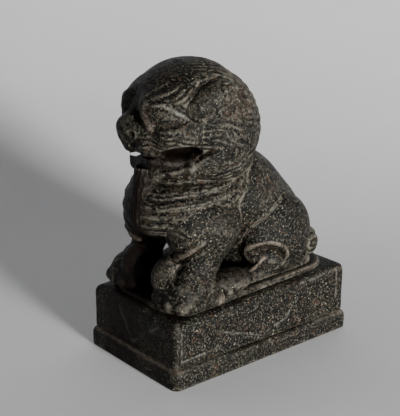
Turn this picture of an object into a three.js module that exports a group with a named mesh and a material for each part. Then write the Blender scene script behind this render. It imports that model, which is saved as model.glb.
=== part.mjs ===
// A carved seal stone: a guardian lion seated on a rectangular seal block.
// Millimetres, +Z up. The origin is the centre of the flat seal face under the base.
// The lion looks along -Y, its left side is +X, and its head turns a little to its right.
import * as THREE from "three";

// Base: a plinth that carries the seal face, and the plain block above it.
const BASE_LENGTH = 47.6;
const BASE_WIDTH = 28.8;
const PLINTH_HEIGHT = 3.9;
const PLINTH_FOOT_RADIUS = 0.3;
const PLINTH_EDGE_RADIUS = 0.6;
const PLINTH_CORNER_RADIUS = 1.6;
const BLOCK_HEIGHT = 9.9;
const BLOCK_RISE = 1.6;
const BLOCK_SETBACK = 0.8;
const BLOCK_CORNER_RADIUS = 1;
const BLOCK_FOOT_RADIUS = 0.3;
const BLOCK_EDGE_RADIUS = 1;
const LEAST_CORNER_RADIUS = 0.15;
const ARC_STEPS = 3;

// The low slab of ground that the lion sits on, carved out of the top of the block.
const GROUND_HEIGHT = 1;
const GROUND_MARGIN = 2.7;
const GROUND_CORNER_RADIUS = 6.5;

// Every form of the carving meets its neighbours across this gap, with its edge rounded.
// A form that another one is set into keeps the allowance too, for the flats of its own facets.
const SEAM = 0.36;
const SEAM_ROUNDING = 1.5;
const SEAT_ALLOWANCE = 0.25;

// Places are [across, along, up]. Those of the trunk and the tail are from the middle of the block's top.
const BARREL_PLACE = [0, 3, 17];
const BARREL_SIZE = [20.6, 26, 19.4];
const BARREL_SLOPE_DEGREES = -40;
const RUMP_PLACE = [0, 9.2, 8.6];
const RUMP_SIZE = [18.5, 22, 21];
const FLANK_DEEP_PLACE = [11.6, -3.2, 5];
const FLANK_DEEP_SIZE = [12, 9.6, 8.2];
const FLANK_SHALLOW_PLACE = [13.2, 2.6, 5.2];
const FLANK_SHALLOW_SIZE = [8.4, 13, 8.6];
const FLANK_SLOPE_DEGREES = -8;
const PASSAGE_PLACE = [0, -7, 6.6];
const PASSAGE_SIZE = [18, 12, 8];
const TAIL_START = [0.6, 17.6, 9.4];
const TAIL_END = [2.6, 18.8, 4.6];
const TAIL_DIAMETERS = [3.4, 4.4];
const TAIL_TUFT_PLACE = [5.8, 18.4, 4.6];
const TAIL_TUFT_SIZE = [5.8, 5.8, 6.8];

// Head. The places from here to the tuft are from its middle.
const HEAD_HEIGHT = 34.3;
const HEAD_CENTRE = [0, -10, HEAD_HEIGHT];
const HEAD_YAW_DEGREES = -14;
const SKULL_PLACE = [0, 1.3, 3.3];
const SKULL_SIZE = [21, 19.8, 16.8];
const CROWN_PLACE = [0, 0.9, 7.8];
const CROWN_SIZE = [15.4, 14.4, 6.8];
const FOREHEAD_PLACE = [0, -4.4, 4.9];
const FOREHEAD_SIZE = [17, 9.8, 8.6];
const FACE_PLACE = [0, -1.4, -1];
const FACE_SIZE = [17, 16, 13];
const CHEEK_PLACE = [6.8, -4, -1.2];
const CHEEK_SIZE = [8.6, 11, 8.4];
const BROW_START = [3.9, -8.6, 4.1];
const BROW_END = [8, -4.4, 6.2];
const BROW_DIAMETERS = [4.4, 3];
const EYE_PLACE = [7.5, -6.9, 2.9];
const EYE_DIRECTION = [0.41, 0.87, -0.22];
const EYE_SIZE = [3.2, 6.2, 3.4];
const SOCKET_OFFSET = [1.7, 0, 0.3];
const SOCKET_SIZE = [3.4, 7.2, 4];
const NOSE_FOLD = [[4.6, -9.6, 4.4], [5, -10, 2.6], [6.2, -9.4, 0.8]];
const NOSE_FOLD_DIAMETER = 1.6;
const MUZZLE_PLACE = [0, -6.7, -2.4];
const MUZZLE_SIZE = [14, 9.2, 7.8];
const MUZZLE_RADIUS = 3;
const NOSE_PLACE = [0, -11.2, -0.2];
const NOSE_SIZE = [6, 5, 4.8];
const NOSTRIL_PLACE = [3, -10.8, -0.6];
const NOSTRIL_SIZE = [3.2, 3.2, 3.2];
const BRIDGE_START = [0, -8.2, 3.6];
const BRIDGE_END = [0, -10.2, 0.6];
const BRIDGE_DIAMETERS = [4, 4.4];
const LIP_START = [0, -11.1, -1.8];
const LIP_END = [0, -10.4, -3.8];
const LIP_DIAMETERS = [4.4, 4];
const MOUTH_SIDE_PLACE = [9.2, -4.6, -4.1];
const MOUTH_SIDE_SIZE = [10, 7.4, 3.2];
const LIP_GAP_PLACE = [0, -10.6, -5.3];
const LIP_GAP_SIZE = [18, 6, 0.8];
const CHIN_PLACE = [0, -5.3, -7.8];
const CHIN_SIZE = [12.8, 8.2, 5.4];
const CHIN_RADIUS = 1.9;
const JOWL_PLACE = [5.6, -2.4, -7.2];
const JOWL_SIZE = [6.8, 9.8, 6.4];
const JOWL_SLOPE_DEGREES = 14;
const TONGUE_PLACE = [4.2, -5, -6.2];
const TONGUE_SIZE = [8.4, 8, 2.8];
const EAR_PLACE = [8.5, 2, 5.2];
const EAR_SIZE = [5.2, 10.8, 6.4];
const EAR_SLOPE_DEGREES = 26.6;

// Mane behind the head, and what hangs from it: the collar, the chest, the ruff and the ruff's tuft.
const MANE_PLACE = [0, 4.4, -1.3];
const MANE_SIZE = [24.4, 21.2, 23];
const COLLAR_PLACE = [0, 2.4, -7.5];
const COLLAR_SIZE = [23.4, 22, 9.4];
const COLLAR_SLOPE_DEGREES = -6;
const CHEST_PLACE = [0, 1.8, -16];
const CHEST_SIZE = [20, 20, 19];
const RUFF_PLACE = [0, 0.4, -14.2];
const RUFF_SIZE = [23, 26.8, 15.8];
const RUFF_SLOPE_DEGREES = 18;
const TUFT_START = [0.6, -9, -10];
const TUFT_END = [0.4, -11.4, -17.7];
const TUFT_DIAMETERS = [5, 2.4];

// Legs. Places across are from the middle of the leg.
const FORELEG_SPACING = 15.4;
const SHOULDER_PLACE = [-1, -10.8, 14.8];
const SHOULDER_SIZE = [12.4, 16.4, 15];
const ELBOW = [-0.5, -10.4, 14.6];
const WRIST = [-0.5, -12, 8.6];
const ANKLE = [-0.2, -14.4, 4];
const FORELEG_DIAMETERS = [12, 8, 7.8];
const FORE_PAW_PLACE = [0, -15.4, 2.2];
const FORE_PAW_SIZE = [9.6, 10.6, 8];
const FORE_PAW_RADIUS = 3.4;
const KNUCKLE_PLACE = [0.7, -15.4, 5.2];
const KNUCKLE_SIZE = [6.4, 6, 5.2];
const SCROLL_PLACE = [-2.4, -16.4, 4.2];
const SCROLL_SIZE = [5.4, 6.2, 6.4];
const FORE_HEEL_PLACE = [2.6, -11, 0.6];
const FORE_HEEL_SIZE = [4.2, 4.8, 3.2];
const STRAP = [[-1.6, -16.7, 9.5], [0.2, -17, 10.3], [2, -16.8, 11.5], [3.8, -15.6, 13.5]];
const STRAP_DIAMETER = 1.4;
const FORE_TOES_PLACE = [0, -20.6, 1.3];
const FORE_TOES_WIDTH = 10.2;
const FORE_TOE_LENGTH = 5;
const FORE_TOE_DIAMETER = 2.8;
const HIND_LEG_SPACING = 15.4;
const THIGH_PLACE = [0, 8, 9.2];
const THIGH_SIZE = [10, 17, 17.4];
const THIGH_SLOPE_DEGREES = -18;
const CALF_PLACE = [0.4, 8, 4];
const CALF_SIZE = [6.6, 11, 5.6];
const CALF_SLOPE_DEGREES = -10;
const HIND_HEEL = [0.6, 14.4, 2.4];
const HIND_INSTEP = [0.5, -3.4, 1.8];
const HIND_FOOT_DIAMETERS = [4.6, 4];
const HIND_PAW_PLACE = [0.4, -5, 2.2];
const HIND_PAW_SIZE = [7.2, 9.4, 5.2];
const HIND_TOES_PLACE = [0.5, -8.2, 1.3];
const HIND_TOES_WIDTH = 6.4;
const HIND_TOE_LENGTH = 3;
const HIND_TOE_DIAMETER = 2.4;
const TOES = 4;
// Behind its tip a toe climbs by a share of its length, and narrows and leans inwards by a share too.
const TOE_CLIMB = 0.55;
const TOE_TAPER = 0.85;
// The outer toes lie this much behind the middle ones.
const TOE_BOW = 1;

// Fillets where the forms of one piece run into each other.
const TRUNK_FILLET = 4;
const FLANK_FILLET = 1.6;
const FLANK_EDGE = 1;
const MANE_FILLET = 2;
const RUFF_FILLET = 1;
const SKULL_FILLET = 2;
const CHEEK_FILLET = 2.2;
const MUZZLE_FILLET = 1;
const SOCKET_EDGE = 0.6;
const NOSE_FOLD_FILLET = 0.7;
const EYE_FILLET = 0.25;
const MOUTH_EDGE = 0.5;
const JAW_FILLET = 1.6;
const TONGUE_FILLET = 0.6;
const FORELEG_FILLET = 1.4;
const PAW_FILLET = 0.8;
const TOE_FILLET = 1;
const STRAP_FILLET = 0.3;
const HIND_LEG_FILLET = 0.5;
const TAIL_FILLET = 1.6;

const half = (size) => size / 2;
const mix = (a, b, t) => a + (b - a) * t;
const clamp01 = (t) => Math.min(1, Math.max(0, t));

// A field gives the distance in millimetres from a point to a form, below zero inside it.

// Ellipsoid by its centre and full sizes, leaning by pitch about the X axis.
function ellipsoid([cx, cy, cz], [width, length, height], pitchDegrees = 0) {
  const [rx, ry, rz] = [half(width), half(length), half(height)];
  const pitch = THREE.MathUtils.degToRad(pitchDegrees);
  const [cos, sin] = [Math.cos(pitch), Math.sin(pitch)];
  return (px, py, pz) => {
    const x = px - cx;
    const y = cos * (py - cy) + sin * (pz - cz);
    const z = cos * (pz - cz) - sin * (py - cy);
    const scaled = Math.hypot(x / rx, y / ry, z / rz);
    const slope = Math.hypot(x / (rx * rx), y / (ry * ry), z / (rz * rz));
    return slope < 1e-9 ? -Math.min(rx, ry, rz) : (scaled * (scaled - 1)) / slope;
  };
}

// Upright box by its centre, full sizes and edge radius.
function roundedBox([cx, cy, cz], [width, length, height], radius) {
  const [hx, hy, hz] = [half(width) - radius, half(length) - radius, half(height) - radius];
  return (x, y, z) => {
    const [dx, dy, dz] = [Math.abs(x - cx) - hx, Math.abs(y - cy) - hy, Math.abs(z - cz) - hz];
    const outside = Math.hypot(Math.max(dx, 0), Math.max(dy, 0), Math.max(dz, 0));
    return outside + Math.min(Math.max(dx, dy, dz), 0) - radius;
  };
}

// Round limb that tapers along a straight line from one centre to the next.
function limb([ax, ay, az], [bx, by, bz], [startDiameter, endDiameter]) {
  const [dx, dy, dz] = [bx - ax, by - ay, bz - az];
  const lengthSquared = dx * dx + dy * dy + dz * dz;
  return (x, y, z) => {
    const t = clamp01(((x - ax) * dx + (y - ay) * dy + (z - az) * dz) / lengthSquared);
    const away = Math.hypot(x - ax - t * dx, y - ay - t * dy, z - az - t * dz);
    return away - half(mix(startDiameter, endDiameter, t));
  };
}

// Larger of two distances, with the corner where they cross rounded off.
function roundedMax(rounding, a, b) {
  const h = Math.max(rounding - Math.abs(a - b), 0) / rounding;
  return Math.max(a, b) + (h * h * rounding) / 4;
}

// Forms joined with a fillet of about the given size.
const blend = (fillet, ...forms) => (x, y, z) =>
  forms.map((form) => form(x, y, z)).reduce((a, b) => -roundedMax(fillet, -a, -b));

// A form with a tool cut out of it, the edge rounded by about the given size.
const hollow = (rounding, form, tool) => (x, y, z) =>
  roundedMax(rounding, form(x, y, z), -tool(x, y, z));

// The same form on both sides of the lion.
const onBothSides = (form) => (x, y, z) => form(Math.abs(x), y, z);

// The form on one side only: +1 is the lion's left, -1 its right.
const onSide = (side, form) => (x, y, z) => form(side * x, y, z);

// A form turned about the upright axis through a centre.
function turned(degrees, [cx, cy], form) {
  const angle = THREE.MathUtils.degToRad(degrees);
  const [cos, sin] = [Math.cos(angle), Math.sin(angle)];
  return (x, y, z) => {
    const [dx, dy] = [x - cx, y - cy];
    return form(cx + cos * dx + sin * dy, cy + cos * dy - sin * dx, z);
  };
}

// The head and what grows on it look a little to the lion's right.
const withYaw = (form) => turned(HEAD_YAW_DEGREES, HEAD_CENTRE, form);

// Round ridge of one diameter through a row of points.
function ridge(points, diameter) {
  const runs = points.slice(1).map((point, i) => limb(points[i], point, [diameter, diameter]));
  return blend(STRAP_FILLET, ...runs);
}

// A form laid with its length along a direction at a centre, its width level.
function laid(centre, direction, form) {
  const along = new THREE.Vector3(...direction).normalize();
  const out = new THREE.Vector3().crossVectors(along, new THREE.Vector3(0, 0, 1)).normalize();
  const axes = [out, along, new THREE.Vector3().crossVectors(out, along)];
  const [cx, cy, cz] = centre;
  return (x, y, z) =>
    form(...axes.map((axis) => axis.x * (x - cx) + axis.y * (y - cy) + axis.z * (z - cz)));
}

// A place given from a centre.
const from = (centre, place) => place.map((v, i) => centre[i] + v);
const onHead = (place) => from(HEAD_CENTRE, place);
const onForeleg = (place) => from([half(FORELEG_SPACING), 0, 0], place);
const onHindLeg = (place) => from([half(HIND_LEG_SPACING), 0, 0], place);

// Hollow in each flank between the thigh and the long foot below it, deepest at its front.
function flankHollow() {
  const deep = ellipsoid(FLANK_DEEP_PLACE, FLANK_DEEP_SIZE);
  const shallow = ellipsoid(FLANK_SHALLOW_PLACE, FLANK_SHALLOW_SIZE, FLANK_SLOPE_DEGREES);
  return onBothSides(blend(FLANK_FILLET, deep, shallow));
}

function torsoForm() {
  const chest = ellipsoid(onHead(CHEST_PLACE), CHEST_SIZE);
  const barrel = ellipsoid(BARREL_PLACE, BARREL_SIZE, BARREL_SLOPE_DEGREES);
  const rump = ellipsoid(RUMP_PLACE, RUMP_SIZE);
  return hollow(FLANK_EDGE, blend(TRUNK_FILLET, chest, barrel, rump), flankHollow());
}

// Hollow of the open mouth: a deep side on each cheek, and a narrow gap at the lips.
function mouthHollow() {
  const side = onBothSides(ellipsoid(onHead(MOUTH_SIDE_PLACE), MOUTH_SIDE_SIZE));
  const lips = ellipsoid(onHead(LIP_GAP_PLACE), LIP_GAP_SIZE);
  return blend(MOUTH_EDGE, side, lips);
}

function maneForm() {
  const helmet = withYaw(ellipsoid(onHead(MANE_PLACE), MANE_SIZE));
  const collar = ellipsoid(onHead(COLLAR_PLACE), COLLAR_SIZE, COLLAR_SLOPE_DEGREES);
  return hollow(MOUTH_EDGE, blend(MANE_FILLET, helmet, collar), withYaw(mouthHollow()));
}

// Ruff over the chest, with a long tuft down its middle.
function ruffForm() {
  const bib = ellipsoid(onHead(RUFF_PLACE), RUFF_SIZE, RUFF_SLOPE_DEGREES);
  const tuft = limb(onHead(TUFT_START), onHead(TUFT_END), TUFT_DIAMETERS);
  return blend(RUFF_FILLET, bib, tuft);
}

function headForm() {
  const skull = ellipsoid(onHead(SKULL_PLACE), SKULL_SIZE);
  const crown = ellipsoid(onHead(CROWN_PLACE), CROWN_SIZE);
  const forehead = ellipsoid(onHead(FOREHEAD_PLACE), FOREHEAD_SIZE);
  const brow = onBothSides(limb(onHead(BROW_START), onHead(BROW_END), BROW_DIAMETERS));
  const face = ellipsoid(onHead(FACE_PLACE), FACE_SIZE);
  const cheek = onBothSides(ellipsoid(onHead(CHEEK_PLACE), CHEEK_SIZE));
  const muzzle = roundedBox(onHead(MUZZLE_PLACE), MUZZLE_SIZE, MUZZLE_RADIUS);
  const nose = ellipsoid(onHead(NOSE_PLACE), NOSE_SIZE);
  const nostril = onBothSides(ellipsoid(onHead(NOSTRIL_PLACE), NOSTRIL_SIZE));
  const bridge = limb(onHead(BRIDGE_START), onHead(BRIDGE_END), BRIDGE_DIAMETERS);
  const lip = limb(onHead(LIP_START), onHead(LIP_END), LIP_DIAMETERS);
  const masses = blend(CHEEK_FILLET, blend(SKULL_FILLET, skull, crown, forehead, brow), face, cheek);
  const solid = blend(MUZZLE_FILLET, masses, muzzle, nose, nostril, bridge, lip);
  const atEye = (form) => onBothSides(laid(onHead(EYE_PLACE), EYE_DIRECTION, form));
  const socket = atEye(ellipsoid(SOCKET_OFFSET, SOCKET_SIZE));
  const eye = atEye(ellipsoid([0, 0, 0], EYE_SIZE));
  const fold = onBothSides(ridge(NOSE_FOLD.map(onHead), NOSE_FOLD_DIAMETER));
  const creased = blend(NOSE_FOLD_FILLET, hollow(SOCKET_EDGE, solid, socket), fold);
  return hollow(MOUTH_EDGE, blend(EYE_FILLET, creased, eye), mouthHollow());
}

// Lower jaw with the tongue lying in it.
function jawForm() {
  const chin = roundedBox(onHead(CHIN_PLACE), CHIN_SIZE, CHIN_RADIUS);
  const jowl = onBothSides(ellipsoid(onHead(JOWL_PLACE), JOWL_SIZE, JOWL_SLOPE_DEGREES));
  const tongue = onBothSides(ellipsoid(onHead(TONGUE_PLACE), TONGUE_SIZE));
  const jaw = hollow(MOUTH_EDGE, blend(JAW_FILLET, chin, jowl), mouthHollow());
  return blend(TONGUE_FILLET, jaw, tongue);
}

// Leaf-shaped ear laid back against the mane.
const earForm = () => ellipsoid(onHead(EAR_PLACE), EAR_SIZE, EAR_SLOPE_DEGREES);

// Row of toes across the front of a paw, from its inner to its outer side.
function toeRow([x, y, z], width, length, diameter) {
  return Array.from({ length: TOES }, (_, i) => {
    const share = (2 * i) / (TOES - 1) - 1;
    const across = share * half(width - diameter);
    const knuckle = [x + across * TOE_TAPER, y + length, z + TOE_CLIMB * length];
    const tip = [x + across, y + TOE_BOW * share ** 2, z];
    return limb(knuckle, tip, [diameter * TOE_TAPER, diameter]);
  });
}

// Foreleg with a strap of hair above the wrist, a scroll of hair and a knuckle over the paw.
// Behind the wrist it is cut free of the belly, so that light passes under the lion.
function forelegForm() {
  const [elbow, wrist, ankle] = [ELBOW, WRIST, ANKLE].map(onForeleg);
  const [elbowDiameter, wristDiameter, ankleDiameter] = FORELEG_DIAMETERS;
  const shoulder = ellipsoid(onForeleg(SHOULDER_PLACE), SHOULDER_SIZE);
  const upper = limb(elbow, wrist, [elbowDiameter, wristDiameter]);
  const lower = limb(wrist, ankle, [wristDiameter, ankleDiameter]);
  const paw = roundedBox(onForeleg(FORE_PAW_PLACE), FORE_PAW_SIZE, FORE_PAW_RADIUS);
  const knuckle = ellipsoid(onForeleg(KNUCKLE_PLACE), KNUCKLE_SIZE);
  const scroll = ellipsoid(onForeleg(SCROLL_PLACE), SCROLL_SIZE);
  const heel = ellipsoid(onForeleg(FORE_HEEL_PLACE), FORE_HEEL_SIZE);
  const passage = ellipsoid(PASSAGE_PLACE, PASSAGE_SIZE);
  const leg = hollow(FLANK_EDGE, blend(FORELEG_FILLET, shoulder, upper, lower, paw), passage);
  const toes = toeRow(onForeleg(FORE_TOES_PLACE), FORE_TOES_WIDTH, FORE_TOE_LENGTH, FORE_TOE_DIAMETER);
  const foot = blend(TOE_FILLET, blend(PAW_FILLET, leg, knuckle, scroll, heel), ...toes);
  return blend(STRAP_FILLET, foot, ridge(STRAP.map(onForeleg), STRAP_DIAMETER));
}

// Folded hind leg: a round thigh over a long foot, with a hollow between the two.
function hindLegForm() {
  const thigh = ellipsoid(onHindLeg(THIGH_PLACE), THIGH_SIZE, THIGH_SLOPE_DEGREES);
  const calf = ellipsoid(onHindLeg(CALF_PLACE), CALF_SIZE, CALF_SLOPE_DEGREES);
  const foot = limb(onHindLeg(HIND_HEEL), onHindLeg(HIND_INSTEP), HIND_FOOT_DIAMETERS);
  const paw = ellipsoid(onHindLeg(HIND_PAW_PLACE), HIND_PAW_SIZE);
  const toes = toeRow(onHindLeg(HIND_TOES_PLACE), HIND_TOES_WIDTH, HIND_TOE_LENGTH, HIND_TOE_DIAMETER);
  return blend(HIND_LEG_FILLET, hollow(FLANK_EDGE, thigh, flankHollow()), calf, foot, paw, ...toes);
}

// Tail that drops from the rump and curls round to the lion's left.
function tailForm() {
  const drop = limb(TAIL_START, TAIL_END, TAIL_DIAMETERS);
  return blend(TAIL_FILLET, drop, ellipsoid(TAIL_TUFT_PLACE, TAIL_TUFT_SIZE));
}

// Level of the block's top, which climbs from the front of the base to its back.
const groundLevel = (y) => (BLOCK_RISE * y) / BASE_LENGTH;

// Plan of the ground slab: a rectangle inside the block's top with round corners.
function groundForm() {
  const hx = half(BASE_WIDTH) - GROUND_MARGIN - GROUND_CORNER_RADIUS;
  const hy = half(BASE_LENGTH) - GROUND_MARGIN - GROUND_CORNER_RADIUS;
  return (x, y, z) => {
    const beside = Math.hypot(Math.max(Math.abs(x) - hx, 0), Math.max(Math.abs(y) - hy, 0));
    return Math.max(beside - GROUND_CORNER_RADIUS, z - groundLevel(y) - GROUND_HEIGHT);
  };
}

const FORMS = {
  torso: torsoForm(),
  mane: maneForm(),
  chest_ruff: ruffForm(),
  head: withYaw(headForm()),
  lower_jaw: withYaw(jawForm()),
  left_ear: withYaw(onSide(1, earForm())),
  right_ear: withYaw(onSide(-1, earForm())),
  left_foreleg: onSide(1, forelegForm()),
  right_foreleg: onSide(-1, forelegForm()),
  left_hind_leg: onSide(1, hindLegForm()),
  right_hind_leg: onSide(-1, hindLegForm()),
  tail: tailForm(),
};

// How far a form stands in front of its neighbours where they run into each other.
const PROUD = { chest_ruff: 4, mane: 4, head: 4, lower_jaw: 8, left_ear: 8, right_ear: 8, tail: 2 };

// The part of a form that is nearer to it than to any neighbour: pieces meet in the carved valleys.
function pieceField(name) {
  const own = FORMS[name];
  const ground = groundForm();
  const others = Object.keys(FORMS).filter((other) => other !== name);
  const lead = (other) => (PROUD[name] ?? 0) - (PROUD[other] ?? 0);
  const allowance = (other) => (lead(other) < 0 ? SEAT_ALLOWANCE : 0);
  const rivalry = (other) => ({ field: FORMS[other], lead: lead(other), allowance: allowance(other) });
  const rivals = others.map(rivalry);
  return (x, y, z) => {
    const d = own(x, y, z);
    let piece = Math.max(d, SEAM + groundLevel(y) - z, SEAM - ground(x, y, z));
    if (piece > SEAM) return piece;
    for (const rival of rivals) {
      const r = rival.field(x, y, z);
      const beyond = Math.min(half(d - rival.lead - r + SEAM), SEAM + rival.allowance - r);
      piece = roundedMax(SEAM_ROUNDING, piece, beyond);
    }
    return piece;
  };
}

// Lattice of samples over a box, with the sample's place in the list.
class Lattice {
  constructor(low, high, cell) {
    this.low = low;
    this.cell = cell;
    this.size = low.map((v, i) => Math.ceil((high[i] - v) / cell) + 1);
    this.step = [1, this.size[0], this.size[0] * this.size[1]];
    this.count = this.step[2] * this.size[2];
  }
  place(index) {
    const [nx, ny] = this.size;
    const at = [index % nx, Math.floor(index / nx) % ny, Math.floor(index / this.step[2])];
    return at.map((v, i) => this.low[i] + v * this.cell);
  }
}

// Keeps the largest connected lump of the samples inside a form.
function keepLargestLump(values, lattice) {
  const lump = new Int32Array(values.length);
  const sizes = [0];
  for (let seed = 0; seed < values.length; seed++) {
    if (values[seed] >= 0 || lump[seed]) continue;
    const label = sizes.push(0) - 1;
    const queue = [seed];
    lump[seed] = label;
    while (queue.length) {
      const index = queue.pop();
      sizes[label]++;
      for (const step of lattice.step) {
        for (const next of [index - step, index + step]) {
          if (values[next] < 0 && !lump[next]) {
            lump[next] = label;
            queue.push(next);
          }
        }
      }
    }
  }
  const largest = sizes.indexOf(Math.max(...sizes));
  lump.forEach((label, index) => {
    if (label && label !== largest) values[index] = lattice.cell;
  });
}

// Takes away samples that touch only across a diagonal, so that the surface is one closed sheet.
function clearDiagonals(values, lattice) {
  const [dx, dy, dz] = lattice.step;
  const corners = [0, dx, dy, dx + dy, dz, dx + dz, dy + dz, dx + dy + dz];
  const faces = [];
  for (const [a, b] of [[dx, dy], [dy, dz], [dz, dx]]) {
    faces.push([0, a + b, a, b], [a, b, 0, a + b]);
  }
  const opposite = [[0, 7], [1, 6], [2, 5], [3, 4]];
  const drop = (a, b) => (values[a] > values[b] ? a : b);
  let changed = true;
  while (changed) {
    changed = false;
    for (let i = 0; i < values.length - corners[7]; i++) {
      for (const [a, b, c, d] of faces) {
        if (values[i + a] < 0 && values[i + b] < 0 && values[i + c] >= 0 && values[i + d] >= 0) {
          values[drop(i + a, i + b)] = half(lattice.cell);
          changed = true;
        }
      }
      const inside = corners.filter((c) => values[i + c] < 0).length;
      if (inside !== 2 && inside !== 6) continue;
      for (const [a, b] of opposite) {
        const [p, q] = [i + corners[a], i + corners[b]];
        const alike = values[p] < 0 === values[q] < 0 && values[p] < 0 === (inside === 2);
        if (!alike) continue;
        const spare = inside === 2 ? drop(p, q) : i + corners.find((c) => i + c !== p && i + c !== q);
        values[spare] = half(lattice.cell);
        changed = true;
      }
    }
  }
}

// Moves a point onto the surface of a field, by no more than half a cell.
function settle(field, point, cell) {
  const reach = half(cell);
  const e = cell * 0.02;
  const start = [...point];
  for (let round = 0; round < 3; round++) {
    const d = field(...point);
    const slope = [0, 1, 2].map((a) => {
      const ahead = [...point];
      ahead[a] += e;
      return (field(...ahead) - d) / e;
    });
    const steepness = slope.reduce((s, v) => s + v * v, 0);
    if (steepness < 0.05) break;
    for (let a = 0; a < 3; a++) {
      const moved = point[a] - (d * slope[a]) / steepness;
      point[a] = Math.min(start[a] + reach, Math.max(start[a] - reach, moved));
    }
  }
  return point;
}

// Closed surface of a field: a vertex in each cell that it crosses, a quad around each crossed edge.
function carvedGeometry(field, low, high, cell) {
  const lattice = new Lattice(low, high, cell);
  const values = new Float64Array(lattice.count);
  for (let i = 0; i < lattice.count; i++) values[i] = field(...lattice.place(i));
  clearDiagonals(values, lattice);
  keepLargestLump(values, lattice);

  const positions = [];
  const vertexOfCell = new Map();
  const vertex = (index) => {
    if (vertexOfCell.has(index)) return vertexOfCell.get(index);
    const sum = [0, 0, 0];
    let crossings = 0;
    for (let axis = 0; axis < 3; axis++) {
      const [u, v] = [lattice.step[(axis + 1) % 3], lattice.step[(axis + 2) % 3]];
      for (const offset of [0, u, v, u + v]) {
        const [a, b] = [index + offset, index + offset + lattice.step[axis]];
        if (values[a] < 0 === values[b] < 0) continue;
        const point = lattice.place(a);
        point[axis] += (lattice.cell * values[a]) / (values[a] - values[b]);
        point.forEach((p, i) => (sum[i] += p));
        crossings++;
      }
    }
    const settled = settle(field, sum.map((s) => s / crossings), cell);
    vertexOfCell.set(index, positions.length / 3);
    positions.push(...settled);
    return vertexOfCell.get(index);
  };

  const triangles = [];
  const place = (i) => positions.slice(3 * i, 3 * i + 3);
  const apart = (a, b) => Math.hypot(...place(a).map((p, i) => p - place(b)[i]));
  for (let index = 0; index < lattice.count; index++) {
    for (let axis = 0; axis < 3; axis++) {
      const ahead = index + lattice.step[axis];
      if (ahead >= lattice.count || values[index] < 0 === values[ahead] < 0) continue;
      const [u, v] = [lattice.step[(axis + 1) % 3], lattice.step[(axis + 2) % 3]];
      const ring = [index, index - u, index - u - v, index - v].map(vertex);
      if (values[index] >= 0) ring.reverse();
      const [a, b, c, d] = ring;
      if (apart(a, c) < apart(b, d)) triangles.push(a, b, c, a, c, d);
      else triangles.push(a, b, d, b, c, d);
    }
  }
  const geometry = new THREE.BufferGeometry();
  geometry.setAttribute("position", new THREE.Float32BufferAttribute(positions, 3));
  geometry.setIndex(triangles);
  geometry.computeVertexNormals();
  return geometry;
}

// Rectangle with round corners, by its half sizes.
function roundedRectangle(hx, hy, r) {
  const outline = new THREE.Shape();
  const quarter = Math.PI / 2;
  const corners = [[hx - r, hy - r], [r - hx, hy - r], [r - hx, r - hy], [hx - r, r - hy]];
  corners.forEach(([x, y], i) => outline.absarc(x, y, r, i * quarter, (i + 1) * quarter));
  return outline;
}

// Plan of the base, set in from its outline, with the given radius at its corners.
function planOutline(inset, cornerRadius) {
  const [hx, hy] = [half(BASE_WIDTH) - inset, half(BASE_LENGTH) - inset];
  const points = roundedRectangle(hx, hy, Math.max(cornerRadius, LEAST_CORNER_RADIUS)).getPoints(ARC_STEPS);
  return points.filter((p, i) => p.distanceTo(points[(i + 1) % points.length]) > 1e-6);
}

// Quarter-round of a profile, as [inset, height] pairs, from one angle to another.
function quarterRound(inset, height, radius, startDegrees, endDegrees) {
  return Array.from({ length: ARC_STEPS + 1 }, (_, i) => {
    const angle = THREE.MathUtils.degToRad(mix(startDegrees, endDegrees, i / ARC_STEPS));
    return [inset - radius * Math.cos(angle), height + radius * Math.sin(angle)];
  });
}

// Solid whose side follows a profile of [inset, height] pairs round the plan, closed flat at both ends.
function mouldedGeometry(profile, setback, cornerRadius) {
  const rings = profile.map(([inset, height]) => {
    const outline = planOutline(setback + inset, cornerRadius - inset);
    return outline.map((p) => [p.x, p.y, height]);
  });
  const n = rings[0].length;
  const triangles = [];
  for (let r = 0; r + 1 < rings.length; r++) {
    for (let i = 0; i < n; i++) {
      const [a, b] = [r * n + i, r * n + ((i + 1) % n)];
      triangles.push(a, b, b + n, a, b + n, a + n);
    }
  }
  const last = (rings.length - 1) * n;
  const plan = (ring) => ring.map(([x, y]) => new THREE.Vector2(x, y));
  const flat = (ring) => THREE.ShapeUtils.triangulateShape(plan(ring), []);
  for (const [a, b, c] of flat(rings[0])) triangles.push(a, c, b);
  for (const [a, b, c] of flat(rings[rings.length - 1])) triangles.push(last + a, last + b, last + c);
  const geometry = new THREE.BufferGeometry();
  geometry.setAttribute("position", new THREE.Float32BufferAttribute(rings.flat(2), 3));
  geometry.setIndex(triangles);
  geometry.computeVertexNormals();
  return geometry;
}

// Lifts a shape with the slope of the ground, by a share that depends on the height.
function sloped(geometry, share) {
  const position = geometry.attributes.position;
  for (let i = 0; i < position.count; i++) {
    const z = position.getZ(i);
    position.setZ(i, z + share(z) * groundLevel(position.getY(i)));
  }
  geometry.computeVertexNormals();
  return geometry;
}

function plinthGeometry() {
  const [foot, edge] = [PLINTH_FOOT_RADIUS, PLINTH_EDGE_RADIUS];
  const profile = [
    ...quarterRound(foot, foot, foot, -90, 0),
    ...quarterRound(edge, PLINTH_HEIGHT - edge, edge, 0, 90),
  ];
  return mouldedGeometry(profile, 0, PLINTH_CORNER_RADIUS);
}

function blockGeometry() {
  const [foot, edge] = [BLOCK_FOOT_RADIUS, BLOCK_EDGE_RADIUS];
  const profile = [
    ...quarterRound(foot, foot, foot, -90, 0),
    ...quarterRound(edge, BLOCK_HEIGHT - edge, edge, 0, 90),
  ];
  const block = mouldedGeometry(profile, BLOCK_SETBACK, BLOCK_CORNER_RADIUS);
  return sloped(block, (z) => clamp01((z - foot) / (BLOCK_HEIGHT - foot)));
}

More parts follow.
